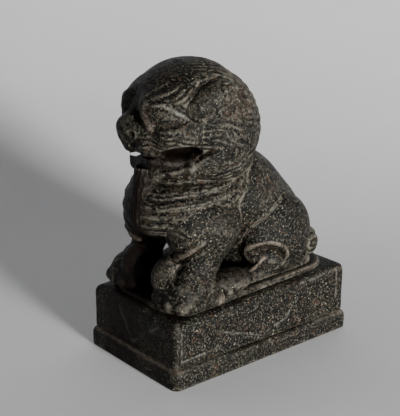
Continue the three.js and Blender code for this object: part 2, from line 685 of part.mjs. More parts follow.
function groundGeometry() {
  const [hx, hy] = [half(BASE_WIDTH) - GROUND_MARGIN, half(BASE_LENGTH) - GROUND_MARGIN];
  const outline = roundedRectangle(hx, hy, GROUND_CORNER_RADIUS);
  const depth = GROUND_HEIGHT - SEAM;
  const slab = new THREE.ExtrudeGeometry(outline, { depth, bevelEnabled: false, curveSegments: 5 });
  return sloped(slab, () => 1);
}

const STONE = { color: 0x35332c, roughness: 0.55, metalness: 0 };

function stonePiece(name, geometry, height) {
  const mesh = new THREE.Mesh(geometry, new THREE.MeshStandardMaterial(STONE));
  mesh.name = name;
  mesh.position.z = height;
  return mesh;
}

// Sampling step of each carved piece: small forms are cut finer than broad ones.
const CELL = {
  torso: 2, mane: 1.8, chest_ruff: 1.7, head: 1.05, lower_jaw: 1, left_ear: 1.2, right_ear: 1.2,
  left_foreleg: 1.25, right_foreleg: 1.25, left_hind_leg: 1.4, right_hind_leg: 1.4, tail: 1.2,
};
// Room that the lion is carved out of.
const ROOM_SIDE = 20;
const ROOM_END = 30;
const ROOM_TOP = HEAD_HEIGHT + SKULL_SIZE[2];
const LION_LOW = [-ROOM_SIDE, -ROOM_END, -BLOCK_RISE];
const LION_HIGH = [ROOM_SIDE, ROOM_END, ROOM_TOP];

const sealStone = new THREE.Group();
const blockFoot = PLINTH_HEIGHT + SEAM;
const lionFoot = blockFoot + BLOCK_HEIGHT;
sealStone.add(stonePiece("plinth", plinthGeometry(), 0));
sealStone.add(stonePiece("seal_block", blockGeometry(), blockFoot));
sealStone.add(stonePiece("ground_slab", groundGeometry(), lionFoot + SEAM));
for (const name of Object.keys(FORMS)) {
  const geometry = carvedGeometry(pieceField(name), LION_LOW, LION_HIGH, CELL[name]);
  sealStone.add(stonePiece(name, geometry, lionFoot));
}

export default sealStone;
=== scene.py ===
"""Looks of the carved seal stone: a guardian lion seated on a rectangular seal block.

Sizes and places of the stone are in millimetres, places as (across, along, up). Those of the trunk and
the tail are from the middle of the block's top. Those of the head are from its middle, before it turns to
its right.
"""
import math

import bpy
import numpy as np
from mathutils import Matrix, Vector


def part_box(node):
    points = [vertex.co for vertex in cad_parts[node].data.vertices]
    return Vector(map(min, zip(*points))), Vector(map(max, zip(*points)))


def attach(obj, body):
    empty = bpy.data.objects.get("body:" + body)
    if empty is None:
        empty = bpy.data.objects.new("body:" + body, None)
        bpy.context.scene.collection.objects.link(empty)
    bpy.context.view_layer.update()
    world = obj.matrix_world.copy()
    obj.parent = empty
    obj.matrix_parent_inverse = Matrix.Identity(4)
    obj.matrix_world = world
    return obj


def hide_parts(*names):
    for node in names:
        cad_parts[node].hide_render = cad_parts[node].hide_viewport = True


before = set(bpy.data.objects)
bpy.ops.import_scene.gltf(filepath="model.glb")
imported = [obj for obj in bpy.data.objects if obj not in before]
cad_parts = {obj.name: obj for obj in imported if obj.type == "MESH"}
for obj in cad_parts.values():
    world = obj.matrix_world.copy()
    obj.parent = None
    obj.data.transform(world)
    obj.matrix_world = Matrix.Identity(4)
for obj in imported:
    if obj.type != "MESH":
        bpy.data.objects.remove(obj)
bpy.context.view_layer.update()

MM = 0.001
SEED = 11

# Base.
BASE_LENGTH = 47.6
BASE_WIDTH = 28.8
PLINTH_HEIGHT = 3.9
PLINTH_CORNER_RADIUS = 1.6
PLINTH_EDGE_RADIUS = 0.6
GROOVE_HEIGHT = 0.36
BLOCK_HEIGHT = 9.9
BLOCK_RISE = 1.6
BLOCK_SETBACK = 0.8
BLOCK_CORNER_RADIUS = 1.0
BLOCK_EDGE_RADIUS = 1.0
BLOCK_FOOT_ROUNDING = 0.8
GROUND_HEIGHT = 1.0
GROUND_MARGIN = 2.7
GROUND_CORNER_RADIUS = 6.5
GROUND_EDGE_ROUNDING = 1.2
GROUND_ROOT = 0.3
BLOCK_FOOT = PLINTH_HEIGHT + GROOVE_HEIGHT
LION_FOOT = BLOCK_FOOT + BLOCK_HEIGHT

# Trunk and tail.
BARREL_PLACE = (0, 3, 17)
BARREL_SIZE = (20.6, 26, 19.4)
BARREL_SLOPE_DEGREES = -40
RUMP_PLACE = (0, 9.2, 8.6)
RUMP_SIZE = (18.5, 22, 21)
FLANK_DEEP_PLACE = (11.6, -3.2, 5)
FLANK_DEEP_SIZE = (12, 9.6, 8.2)
FLANK_SHALLOW_PLACE = (13.2, 1.2, 5.2)
FLANK_SHALLOW_SIZE = (8.4, 11.4, 8.6)
FLANK_SLOPE_DEGREES = -8
FLANK_RIM_HEIGHT = 0.22
FLANK_RIM_OFFSET = 0.35
FLANK_RIM_WIDTH = 0.4
PASSAGE_PLACE = (0, -7, 6.6)
PASSAGE_SIZE = (18, 12, 8)
TAIL_START = (0.6, 17.6, 9.4)
TAIL_END = (2.6, 18.8, 4.6)
TAIL_DIAMETERS = (3.4, 4.4)
TAIL_TUFT_PLACE = (5.8, 18.4, 4.6)
TAIL_TUFT_SIZE = (5.8, 5.8, 6.8)

# Head.
HEAD_CENTRE = (0, -10, 34.3)
HEAD_YAW_DEGREES = -14
SKULL_PLACE = (0, 1.3, 3.3)
SKULL_SIZE = (21, 19.8, 16.8)
CROWN_PLACE = (0, 0.9, 7.8)
CROWN_SIZE = (15.4, 14.4, 6.8)
FOREHEAD_PLACE = (0, -4.4, 4.9)
FOREHEAD_SIZE = (17, 9.8, 8.6)
FACE_PLACE = (0, -1.4, -1)
FACE_SIZE = (17, 16, 13)
CHEEK_PLACE = (6.8, -4, -1.2)
CHEEK_SIZE = (8.6, 11, 8.4)
BROW_START = (3.9, -8.6, 4.1)
BROW_END = (8, -4.4, 6.2)
BROW_DIAMETERS = (4.4, 3)
EYE_PLACE = (7.5, -6.9, 2.9)
EYE_DIRECTION = (0.41, 0.87, -0.22)
EYE_SIZE = (3.2, 6.2, 3.4)
SOCKET_OFFSET = (1.7, 0, 0.3)
SOCKET_SIZE = (3.4, 7.2, 4)
UPPER_LID = ((6.6, -9.2, 4.6), (7.9, -7.6, 4.9), (9, -5.6, 3.6), (9.6, -3.6, 2.6))
UPPER_LID_DIAMETER = 0.6
NOSE_FOLD = ((4.6, -9.6, 4.4), (5, -10, 2.6), (6.2, -9.4, 0.8))
NOSE_FOLD_DIAMETER = 1.6
MUZZLE_PLACE = (0, -6.7, -2.4)
MUZZLE_SIZE = (14, 9.2, 7.8)
MUZZLE_RADIUS = 3
NOSE_PLACE = (0, -11.2, -0.2)
NOSE_SIZE = (6, 5, 4.8)
NOSTRIL_PLACE = (3, -10.8, -0.6)
NOSTRIL_SIZE = (3.2, 3.2, 3.2)
NOSTRIL_PIT_PLACE = (3.4, -12.3, -0.9)
NOSTRIL_PIT_SIZE = (1.5, 1.6, 1.2)
BRIDGE_START = (0, -8.2, 3.6)
BRIDGE_END = (0, -10.2, 0.6)
BRIDGE_DIAMETERS = (4, 4.4)
LIP_START = (0, -11.1, -1.8)
LIP_END = (0, -10.4, -3.8)
LIP_DIAMETERS = (4.4, 4)
MOUTH_SIDE_PLACE = (9.2, -4.6, -4.1)
MOUTH_SIDE_SIZE = (10, 7.4, 3.2)
MOUTH_CORNER = (-1.1, -3.9)
LIP_GAP_PLACE = (0, -10.6, -5.3)
LIP_GAP_SIZE = (18, 6, 0.8)
CHIN_PLACE = (0, -5.3, -7.8)
CHIN_SIZE = (12.8, 8.2, 5.4)
CHIN_RADIUS = 1.9
JOWL_PLACE = (5.6, -2.4, -7.2)
JOWL_SIZE = (6.8, 9.8, 6.4)
JOWL_SLOPE_DEGREES = 14
TONGUE_PLACE = (4.2, -5, -6.2)
TONGUE_SIZE = (8.4, 8, 2.8)
GUM = ((5.4, -9, -5.9), (6.8, -5.4, -6), (7.8, -2, -5.4))
GUM_DIAMETER = 1
# Fold of skin that joins the jaw's plate to the cheek behind it.
JAW_FOLD = ((8.9, -2.7, -6), (9.1, -2.7, -7.2), (8.9, -2.8, -8.6))
JAW_FOLD_DIAMETER = 1.6
# Cut from the chin up to the corner of the mouth, as (along, up).
JAW_LINE = ((-7.7, -7.9), (-5, -7.1), (-1.8, -5.6), (0.6, -3.8))
# Plain plate of the jaw below that cut, as (along, up).
JAW_PLATE_PLACE = (-2.2, -8)
JAW_PLATE_SIZE = (10, 5.6)
EAR_PLACE = (8.5, 2, 5.2)
EAR_SIZE = (5.2, 10.8, 6.4)
EAR_SLOPE_DEGREES = 26.6
# A hole is drilled through the front of the mouth from side to side; its places are on the lion.
DRILL_START = (3.76, -24.2, 30.8)
DRILL_END = (-12.34, -12.6, 25.2)
DRILL_ACROSS = (0.64, 0.77, 0)
DRILL_WIDTH = 1.5
DRILL_HEIGHT = 0.85
# How much lower the hole is at its sides, as a share of its height.
DRILL_TAPER = 0.45

# Mane behind the head, and what hangs from it, on places from the middle of the head.
MANE_PLACE = (0, 4.4, -1.3)
MANE_SIZE = (24.4, 21.2, 23)
COLLAR_PLACE = (0, 2.4, -7.5)
COLLAR_SIZE = (23.4, 22, 9.4)
COLLAR_SLOPE_DEGREES = -6
CHEST_PLACE = (0, 1.8, -16)
CHEST_SIZE = (20, 20, 19)
RUFF_PLACE = (0, 0.4, -14.2)
RUFF_SIZE = (23, 26.8, 15.8)
RUFF_SLOPE_DEGREES = 18
BEARD_START = (0, -9.4, -8.6)
BEARD_END = (0, -9.8, -12)
BEARD_DIAMETERS = (4.4, 4)
TUFT_START = (0.6, -9, -10)
TUFT_END = (0.4, -11.4, -17.7)
TUFT_DIAMETERS = (5, 2.4)

# Legs. Places across are from the middle of the leg.
FORELEG_SPACING = 15.4
SHOULDER_PLACE = (-1, -10.8, 14.8)
SHOULDER_SIZE = (12.4, 16.4, 15)
ELBOW = (-0.5, -10.4, 14.6)
WRIST = (-0.5, -12, 8.6)
ANKLE = (-0.2, -14.4, 4)
FORELEG_DIAMETERS = (12, 8, 7.8)
FORE_PAW_PLACE = (0, -15.4, 2.2)
FORE_PAW_SIZE = (9.6, 10.6, 8)
FORE_PAW_RADIUS = 3.4
KNUCKLE_PLACE = (0.7, -15.4, 5.2)
KNUCKLE_SIZE = (6.4, 6, 5.2)
SCROLL_PLACE = (-2.8, -16.9, 5.2)
SCROLL_SIZE = (7, 9, 8.6)
CLAW = ((-2.3, -20.1, 4.4), (-1.9, -19.5, 5.6), (0.2, -19.5, 5.5), (1.7, -20, 4.8))
TOE_LINE = ((-0.2, -20.6, 3.5), (1.5, -20.7, 3.1), (2.8, -20.5, 2.5))
CLAW_DIAMETER = 0.6
# Cut down the front of the shoulder, as (along, up).
SHOULDER_LINE = ((-19.4, 17), (-17, 14))
FORE_HEEL_PLACE = (2.6, -11, 0.6)
FORE_HEEL_SIZE = (4.2, 4.8, 3.2)
STRAP = ((-1.6, -16.7, 9.5), (0.2, -17, 10.3), (2, -16.8, 11.5), (3.9, -14.7, 13.6))
STRAP_DIAMETER = 1.4
FORE_TOES_PLACE = (0, -20.6, 1.3)
FORE_TOES_WIDTH = 10.2
FORE_TOE_LENGTH = 5
FORE_TOE_DIAMETER = 2.8
HIND_LEG_SPACING = 15.4
THIGH_PLACE = (0, 8, 9.2)
THIGH_SIZE = (10, 17, 17.4)
THIGH_SLOPE_DEGREES = -18
CALF_PLACE = (0.4, 8, 4)
CALF_SIZE = (6.6, 11, 5.6)
CALF_SLOPE_DEGREES = -10
CALF_FOLD = ((1.7, -1.9, 2.6), (1.5, 0.8, 3.8), (1.7, 3, 5.4), (2.1, 6.2, 6))
CALF_FOLD_DIAMETER = 0.8
HIND_HEEL = (0.6, 14.4, 2.4)
HIND_INSTEP = (0.5, -3.4, 1.8)
HIND_FOOT_DIAMETERS = (4.6, 4)
HIND_PAW_PLACE = (0.4, -5, 2.2)
HIND_PAW_SIZE = (7.2, 9.4, 5.2)
HIND_TOES_PLACE = (0.5, -8.2, 1.3)
HIND_TOES_WIDTH = 6.4
HIND_TOE_LENGTH = 3
HIND_TOE_DIAMETER = 2.4
TOES = 4
TOE_CLIMB = 0.55
TOE_TAPER = 0.85
TOE_BOW = 1

# Fillets where the forms of one piece run into each other.
TRUNK_FILLET = 4
FLANK_FILLET = 1.6
FLANK_EDGE = 1
MANE_FILLET = 2
RUFF_FILLET = 1
SKULL_FILLET = 2
CHEEK_FILLET = 2.2
MUZZLE_FILLET = 1
SOCKET_EDGE = 0.6
NOSE_FOLD_FILLET = 1.3
EYE_FILLET = 1.2
MOUTH_EDGE = 0.5
JAW_FILLET = 1.6
TONGUE_FILLET = 0.6
FORELEG_FILLET = 1.4
PAW_FILLET = 0.8
TOE_FILLET = 1
STRAP_FILLET = 0.3
HIND_LEG_FILLET = 0.5
TAIL_FILLET = 1.6
LID_FILLET = 0.25
NOSTRIL_EDGE = 0.3
MOUTH_FILLET = 0.4
DRILL_EDGE = 0.3
THIGH_EDGE = 0.3
# Fillet where the pieces of the lion run into each other.
SEAM_FILLET = 0.6

# Lines cut into the block: a frame and the points of a hanging cloth, as (along or across, up).
LONG_SIDE_LINES = (
    ((-12, -5), (-1.1, -9), (6, -7.1), (7.6, -4.4)),
    ((-21.5, -2.6), (-21.5, -8.6), (-12, -8.2)),
    ((9.8, -0.8), (20.6, -0.4), (20.6, -6.6)),
)
SHORT_SIDE_LINES = (((-5.2, -1.8), (-0.5, -9), (9.9, -1.6)),)
BLOCK_LINE_WIDTH = 0.36
BLOCK_LINE_DEPTH = 0.22

# Hair: distance from strand to strand, and depth of the cuts between them.
HAIR_PERIOD = 0.95
HAIR_DEPTH = 0.3
LOCK_PERIOD = 1.05
LOCK_DEPTH = 0.24
# The crown's locks fan out round an axis below the middle of the head.
LOCK_AXIS_DEPTH = 5
LOCK_RADIUS = 15
BROW_PERIOD = 0.85
BROW_DEPTH = 0.34
LAYER_PERIOD = 2.1
LAYER_DEPTH = 0.4
FINE_LAYER_PERIOD = 0.7
FINE_LAYER_DEPTH = 0.16
TUFT_PERIOD = 0.8
TUFT_DEPTH = 0.22
TAIL_PERIOD = 1.3
TAIL_DEPTH = 0.3
TAIL_SPIRAL_CLIMB = 0.25
CURL_SIZES = (1.3, 1.5)
CURL_DEPTH = 0.38
CURL_STEEPNESS = 3.2

# Other cuts. Those along the edge of a form share their width and their distance from it.
EDGE_CUT_OFFSET = 0.3
EDGE_CUT_WIDTH = 0.9
EAR_CUT_DEPTH = 0.75
KNUCKLE_CUT_DEPTH = 0.5
STRAP_CUT_DEPTH = 0.45
JAW_LINE_WIDTH = 0.6
JAW_LINE_DEPTH = 0.8
SHOULDER_LINE_WIDTH = 0.35
SHOULDER_LINE_DEPTH = 0.3

# Where a carved pattern fades in: nothing of it at the first value, all of it at the second.
LOCKS_BACK = (-0.5, 3)
LOCKS_UP = (5.5, 7)
CURLS_BACK = (3.2, 4.8)
CURLS_UP = (1.2, 2.8)
EAR_CURLS_ALONG = (0, 1.8)
EAR_CUT_ALONG = (2.5, -1.5)
EAR_CUT_UP = (-2, -0.4)
BROW_BOTTOM = (4.4, 5.2)
BROW_TOP = (9, 7)
BROW_OUT = (4, 5.5)
WHISKERS_UP = (1.4, 0.4)
WHISKERS_ALONG = (-12.4, -10)
JAW_LINE_OUT = (4, 5.5)
JAW_PLATE_EDGE = (0.8, 1.1)
TUFT_OUT = (2.6, 1.2)
TUFT_ALONG = (-14, -17)
KNUCKLE_CUT_OUT = (1.5, -0.5)
STRAP_CUT_UP = (12.6, 10.6)
SHOULDER_LINE_OUT = (-4, -2)
FLANK_RIM_UP = (4, 6.5)
TAIL_OUT = (4.5, 6)
PLINTH_SKIN_UP = (0, 1.5)
BLOCK_SIDE_OUT = (-2, -1)

# Skin of the stone, with long waves and a fine grain.
SKIN_WAVE_HEIGHT = 0.06
SKIN_WAVE_LENGTH = 4.2
SKIN_GRAIN_HEIGHT = 0.02
SKIN_GRAIN_LENGTH = 0.9
SKIN_ROOM = 0.08
SOFTENING = 0.4
# Rounds of smoothing against which fine and broad hollows are measured.
FINE_ROUNDS = 4
BROAD_ROUNDS = 40

# Lattice on which the forms are worked out. A piece reaches over its border by the overlap.
SEAM_OVERLAP = 0.05
PIECE_ROOM = 1.8
# Distance that stands for far away from a form.
FAR = 5
CELL = {
    "plinth": 0.34, "seal_block": 0.34, "ground_slab": 0.34, "torso": 0.34,
    "mane": 0.22, "chest_ruff": 0.24, "head": 0.22, "lower_jaw": 0.22,
    "left_ear": 0.22, "right_ear": 0.22, "left_foreleg": 0.25, "right_foreleg": 0.25,
    "left_hind_leg": 0.26, "right_hind_leg": 0.26, "tail": 0.24,
}
BLOCK_CELLS = 12
BLOCKS_AT_ONCE = 120
# Margins on the distance at which a surface may still cross a block.
REACH_FACTOR = 1.6
REACH_ROOM = 1
# Numbers that scramble the places of a lattice into noise.
NOISE_PRIMES = (73856093, 19349663, 83492791)
NOISE_SEED_PRIME = 2654435761
NOISE_MIX_PRIME = 1274126177
NOISE_MASK = 0x7FFFFFFF
# The plain base has less wear on its edges, and less dust and painted shade in its small hollows, than the
# carving.
EDGE_WEAR_AND_SHADE = {"plinth": 0.22, "seal_block": 0.22, "ground_slab": 0.4}

# Share of residue, dust, painted shade with grime, and a darker brown on the spots that hold it.
RIM_RESIDUE = 0.65
STRAP_RESIDUE = 0.3
FOLD_RESIDUE = 0.45
HEEL_RESIDUE = 0.4
JOINT_RESIDUE = 0.7
NOSE_RESIDUE = 0.3
CURL_RESIDUE = 0.12
GUM_SHADE_AND_GRIME = 0.75
PAW_DARKENING = 0.4
LINE_DUST = 0.6
EDGE_DUST = 0.5
LID_DUST = 0.75

# Colours, as linear red, green and blue.
STONE_DARK = (0.0009, 0.001, 0.0008)
STONE_LIGHT = (0.004, 0.0039, 0.0028)
RUST_COLOUR = (0.034, 0.02, 0.0115)
MOSS_COLOUR = (0.02, 0.0225, 0.012)
GRAIN_COLOUR = (0.056, 0.053, 0.041)
SPARK_COLOUR = (0.26, 0.235, 0.185)
# Painted shade: near-black in the cuts and small hollows.
CUT_SHADE_COLOUR = (0.002, 0.0017, 0.0014)
DUST_COLOUR = (0.05, 0.031, 0.018)
WORN_COLOUR = (0.1, 0.09, 0.07)
# Painted shade: dark brown in the broad hollows.
DEEP_SHADE_COLOUR = (0.011, 0.007, 0.005)
# Painted shade with some grime: dark brown in the mouth, by the jaw's cut and under the chin; also the darker
# brown on the hind paws.
SHADE_AND_GRIME_COLOUR = (0.0045, 0.0024, 0.0018)
RESIDUE_COLOUR = (0.19, 0.142, 0.11)
CHALK_COLOUR = (0.15, 0.145, 0.12)
PAPER_DARK = (0.79, 0.79, 0.795)
PAPER_LIGHT = (0.82, 0.82, 0.825)
SKY_COLOUR = (0.93, 0.95, 1.0)

# Shine and relief of the surfaces, the relief in metres.
POLISHED_ROUGHNESS = 0.36
DULL_ROUGHNESS = 0.6
STONE_SPECULAR = 0.07
GRAIN_RELIEF_STRENGTH = 0.6
GRAIN_RELIEF = 0.0003
PAPER_ROUGHNESS = 0.85

# Stage and light, in metres, degrees and watts.
FLOOR_WIDTH = 4.0
FLOOR_IN_FRONT = 3.0
FLOOR_BEHIND = 0.03
SWEEP_RADIUS = 0.5
SWEEP_HEIGHT = 1.2
SWEEP_DEGREES = 80
SWEEP_STEPS = 24
LAMP_AIM = (0, 0, 0.03)
KEY_LAMP = {"azimuth": 86, "elevation": 2.4, "distance": 0.8, "size": 0.15, "power": 24}
FILL_LAMP = {"azimuth": 300, "elevation": 12, "distance": 0.9, "size": 0.7, "power": 1.7}
SKY_STRENGTH = 0.055

# Camera, in millimetres, degrees and pixels.
CAMERA_TARGET = (-7.087, 0.0, 26.566)
CAMERA_DISTANCE = 210.31
CAMERA_AZIMUTH = 50.257
CAMERA_ELEVATION = 18.384
CAMERA_ROLL = 0.159
CAMERA_CLIP = 10
PICTURE_LONG_SIDE = 416
FOCAL_PIXELS = 1000
SENSOR = 36.0


def smooth_step(low, high, value):
    """0 on the side of low, 1 on the side of high, with a soft climb between."""
    t = np.clip((value - low) / (high - low), 0, 1)
    return t * t * (3 - 2 * t)


def rounded_max(rounding, a, b):
    """Larger of two distances, with the corner where they cross rounded off."""
    h = np.maximum(rounding - np.abs(a - b), 0) / rounding
    return np.maximum(a, b) + h * h * rounding / 4


def blend(fillet, *fields):
    """Forms joined with a fillet of about the given size."""
    joined = fields[0]
    for field in fields[1:]:
        joined = -rounded_max(fillet, -joined, -field)
    return joined


def ellipsoid(p, centre, size, pitch=0.0):
    """Distance to an ellipsoid by its centre and full sizes, leaning by pitch degrees about X."""
    radii = [s / 2 for s in size]
    cos, sin = math.cos(math.radians(pitch)), math.sin(math.radians(pitch))
    x, dy, dz = p[0] - centre[0], p[1] - centre[1], p[2] - centre[2]
    y = cos * dy + sin * dz
    z = cos * dz - sin * dy
    scaled = np.sqrt((x / radii[0]) ** 2 + (y / radii[1]) ** 2 + (z / radii[2]) ** 2)
    slope = np.sqrt((x / radii[0] ** 2) ** 2 + (y / radii[1] ** 2) ** 2 + (z / radii[2] ** 2) ** 2)
    return scaled * (scaled - 1) / np.maximum(slope, 1e-4)


def rounded_box(p, centre, size, radius):
    """Distance to an upright box by its centre, full sizes and edge radius."""
    d = [np.abs(p[i] - centre[i]) - (size[i] / 2 - radius) for i in range(3)]
    outside = np.sqrt(sum(np.maximum(v, 0) ** 2 for v in d))
    return outside + np.minimum(np.maximum(np.maximum(d[0], d[1]), d[2]), 0) - radius


def limb(p, start, end, diameters):
    """Distance to a round limb that tapers along a straight line, by its diameters at both ends."""
    axis = [end[i] - start[i] for i in range(3)]
    length_squared = sum(a * a for a in axis)
    t = np.clip(sum((p[i] - start[i]) * axis[i] for i in range(3)) / length_squared, 0, 1)
    away = np.sqrt(sum((p[i] - start[i] - t * axis[i]) ** 2 for i in range(3)))
    return away - (diameters[0] + (diameters[1] - diameters[0]) * t) / 2


def stroke(u, v, points):
    """Distance in a drawing plane from each place to a line through the points."""
    nearest = np.full(u.shape, 1e3, np.float32)
    for (au, av), (bu, bv) in zip(points, points[1:]):
        du, dv = bu - au, bv - av
        t = np.clip(((u - au) * du + (v - av) * dv) / (du * du + dv * dv), 0, 1)
        nearest = np.minimum(nearest, np.hypot(u - au - t * du, v - av - t * dv))
    return nearest


def near(distance, reach):
    """1 on a line or a surface, falling to 0 over about the given reach."""
    return np.exp(-((distance / reach) ** 2))


def cut_line(distance, width, depth):
    """Depth of a cut of the given width along a line."""
    return depth * near(distance, 0.5 * width)


def ridge(p, points, diameter):
    """Distance to a round ridge that runs through the points."""
    runs = [limb(p, a, b, (diameter, diameter)) for a, b in zip(points, points[1:])]
    return blend(STRAP_FILLET, *runs)


def tilted(p, centre, along):
    """Places at a centre as (out, along, up) from a direction, with the way out kept level."""
    along = Vector(along).normalized()
    out = along.cross(Vector((0, 0, 1))).normalized()
    axes = (out, along, out.cross(along))
    d = [p[i] - centre[i] for i in range(3)]
    return [sum(d[i] * axis[i] for i in range(3)) for axis in axes]


def mirrored(p):
    """The place on the lion's left that matches a place on either side."""
    return np.abs(p[0]), p[1], p[2]


def on_lion(p):
    """Places from the middle of the block's top, for places on the whole stone."""
    return p[0], p[1], p[2] - LION_FOOT


def on_head(p):
    """Places from the middle of the head, with its turn undone."""
    yaw = math.radians(HEAD_YAW_DEGREES)
    cos, sin = math.cos(yaw), math.sin(yaw)
    dx, dy, dz = (p[i] - HEAD_CENTRE[i] for i in range(3))
    return cos * dx + sin * dy, cos * dy - sin * dx, dz


def value_noise(p, scale, seed):
    """Smooth seeded noise between -1 and 1, with features of about the given size."""
    whole = [np.floor(c / scale).astype(np.int64) for c in p]
    part = [c / scale - w for c, w in zip(p, whole)]
    part = [t * t * (3 - 2 * t) for t in part]
    total = 0.0
    for corner in range(8):
        bits = [corner >> i & 1 for i in range(3)]
        mixed = seed * NOISE_SEED_PRIME
        for w, bit, prime in zip(whole, bits, NOISE_PRIMES):
            mixed = mixed ^ (w + bit) * prime
        mixed = mixed & NOISE_MASK
        mixed = (mixed ^ (mixed >> 13)) * NOISE_MIX_PRIME & NOISE_MASK
        weight = 1.0
        for t, bit in zip(part, bits):
            weight = weight * (t if bit else 1 - t)
        total = total + weight * ((mixed & 0xFFFF) / 32767.5 - 1)
    return total.astype(np.float32)


def hair(phase, depth):
    """Depth of combed hair: narrow cuts between round strands, one cut for each whole phase."""
    return depth * (0.5 + 0.5 * np.cos(2 * math.pi * phase)) ** 2


def from_head(place):
    """Place on the lion of a place that is given from the middle of the head."""
    return tuple(c + d for c, d in zip(HEAD_CENTRE, place))


def beside_leg(q, spacing):
    """Places on a leg of the lion's left, from the middle of the leg."""
    return q[0] - spacing / 2, q[1], q[2]


# Forms of the lion. Each takes places on the lion and gives the distance to the carved form.

def flank_hollow(p):
    """Hollow between the thigh and the long foot below it, deepest at its front."""
    m = mirrored(p)
    deep = ellipsoid(m, FLANK_DEEP_PLACE, FLANK_DEEP_SIZE)
    shallow = ellipsoid(m, FLANK_SHALLOW_PLACE, FLANK_SHALLOW_SIZE, FLANK_SLOPE_DEGREES)
    return blend(FLANK_FILLET, deep, shallow)


def torso(p):
    chest = ellipsoid(p, from_head(CHEST_PLACE), CHEST_SIZE)
    barrel = ellipsoid(p, BARREL_PLACE, BARREL_SIZE, BARREL_SLOPE_DEGREES)
    rump = ellipsoid(p, RUMP_PLACE, RUMP_SIZE)
    return rounded_max(FLANK_EDGE, blend(TRUNK_FILLET, chest, barrel, rump), -flank_hollow(p))


def mane_strands(p):
    """Hair that runs back over the cheek and loops round the corner of the mouth."""
    h = on_head(p)
    warp = 0.5 * value_noise(p, 3.6, SEED) + 0.25 * value_noise(p, 1.3, SEED + 3)
    behind = np.maximum(h[1] - MOUTH_CORNER[0], 0)
    away = np.hypot(behind * 0.4, h[2] - MOUTH_CORNER[1])
    depth = HAIR_DEPTH * np.maximum(0.6 + 0.9 * value_noise(p, 1.6, SEED + 4), 0)
    from_plate = [2 * (h[i + 1] - JAW_PLATE_PLACE[i]) / JAW_PLATE_SIZE[i] for i in range(2)]
    depth = depth * smooth_step(*JAW_PLATE_EDGE, np.hypot(*from_plate))
    return hair((away + warp) / HAIR_PERIOD, depth)


def crown_locks(h, p):
    """Locks combed back over the top of the head."""
    fan = np.arctan2(np.abs(h[0]), h[2] + LOCK_AXIS_DEPTH) * LOCK_RADIUS
    waved = fan + 0.5 * value_noise(p, 3.0, SEED + 8)
    share = smooth_step(*LOCKS_BACK, h[1] + 0.2 * np.abs(h[0])) * smooth_step(*LOCKS_UP, h[2])
    return hair(waved / LOCK_PERIOD, LOCK_DEPTH) * share


def curly_share(h):
    """1 behind the ear, where the hair is curly, and 0 elsewhere."""
    return smooth_step(*CURLS_BACK, h[1] - 0.5 * (h[2] - 5)) * smooth_step(*CURLS_UP, h[2])


def curls(p):
    """Depth of tight curly hair: creases between small round lumps."""
    creases = [np.abs(value_noise(p, size, SEED + 12 + i)) for i, size in enumerate(CURL_SIZES)]
    return CURL_DEPTH * np.clip(1 - CURL_STEEPNESS * np.minimum(*creases), 0, 1)


def ear_leaf(h):
    """Places along the ear's leaf, and the distance to it."""
    slope = math.radians(EAR_SLOPE_DEGREES)
    leaf = tilted(mirrored(h), EAR_PLACE, (0, math.cos(slope), math.sin(slope)))
    return leaf, ellipsoid(leaf, (0, 0, 0), EAR_SIZE)


def ear_gap(h):
    """Cut that parts the front and the top of the ear from the brow."""
    leaf, distance = ear_leaf(h)
    share = smooth_step(*EAR_CUT_ALONG, leaf[1] - 0.6 * leaf[2]) * smooth_step(*EAR_CUT_UP, leaf[2])
    return cut_line(distance - EDGE_CUT_OFFSET, EDGE_CUT_WIDTH, EAR_CUT_DEPTH) * share


def drilled_hole(p):
    """Level slot drilled through the front of the mouth, from side to side."""
    beside = Vector(DRILL_ACROSS) * (DRILL_WIDTH / 2)
    passes = []
    for turn in (-1, 0, 1):
        height = DRILL_HEIGHT * (1 - DRILL_TAPER * abs(turn))
        start, end = Vector(DRILL_START) + beside * turn, Vector(DRILL_END) + beside * turn
        passes.append(limb(p, start, end, (height, height)))
    return blend(MOUTH_FILLET, *passes)


def mouth_hollow(p):
    """Opening of the mouth: a deep side on each cheek, narrow lips, and a hole drilled through the front."""
    h = on_head(p)
    side = ellipsoid(mirrored(h), MOUTH_SIDE_PLACE, MOUTH_SIDE_SIZE)
    lips = ellipsoid(h, LIP_GAP_PLACE, LIP_GAP_SIZE)
    return blend(MOUTH_FILLET, side, lips, drilled_hole(p))


def jaw_line(h):
    """Cut from the chin up to the corner of the mouth."""
    m = mirrored(h)
    cut = cut_line(stroke(m[1], m[2], JAW_LINE), JAW_LINE_WIDTH, JAW_LINE_DEPTH)
    return cut * smooth_step(*JAW_LINE_OUT, m[0])


def mane(p):
    h = on_head(p)
    helmet = ellipsoid(h, MANE_PLACE, MANE_SIZE)
    collar = ellipsoid(p, from_head(COLLAR_PLACE), COLLAR_SIZE, COLLAR_SLOPE_DEGREES)
    curly = curly_share(h)
    texture = mane_strands(p) * (1 - curly) + curls(p) * curly
    carved = blend(MANE_FILLET, helmet, collar) + texture + ear_gap(h) + jaw_line(h)
    return rounded_max(MOUTH_EDGE, carved, -mouth_hollow(p))


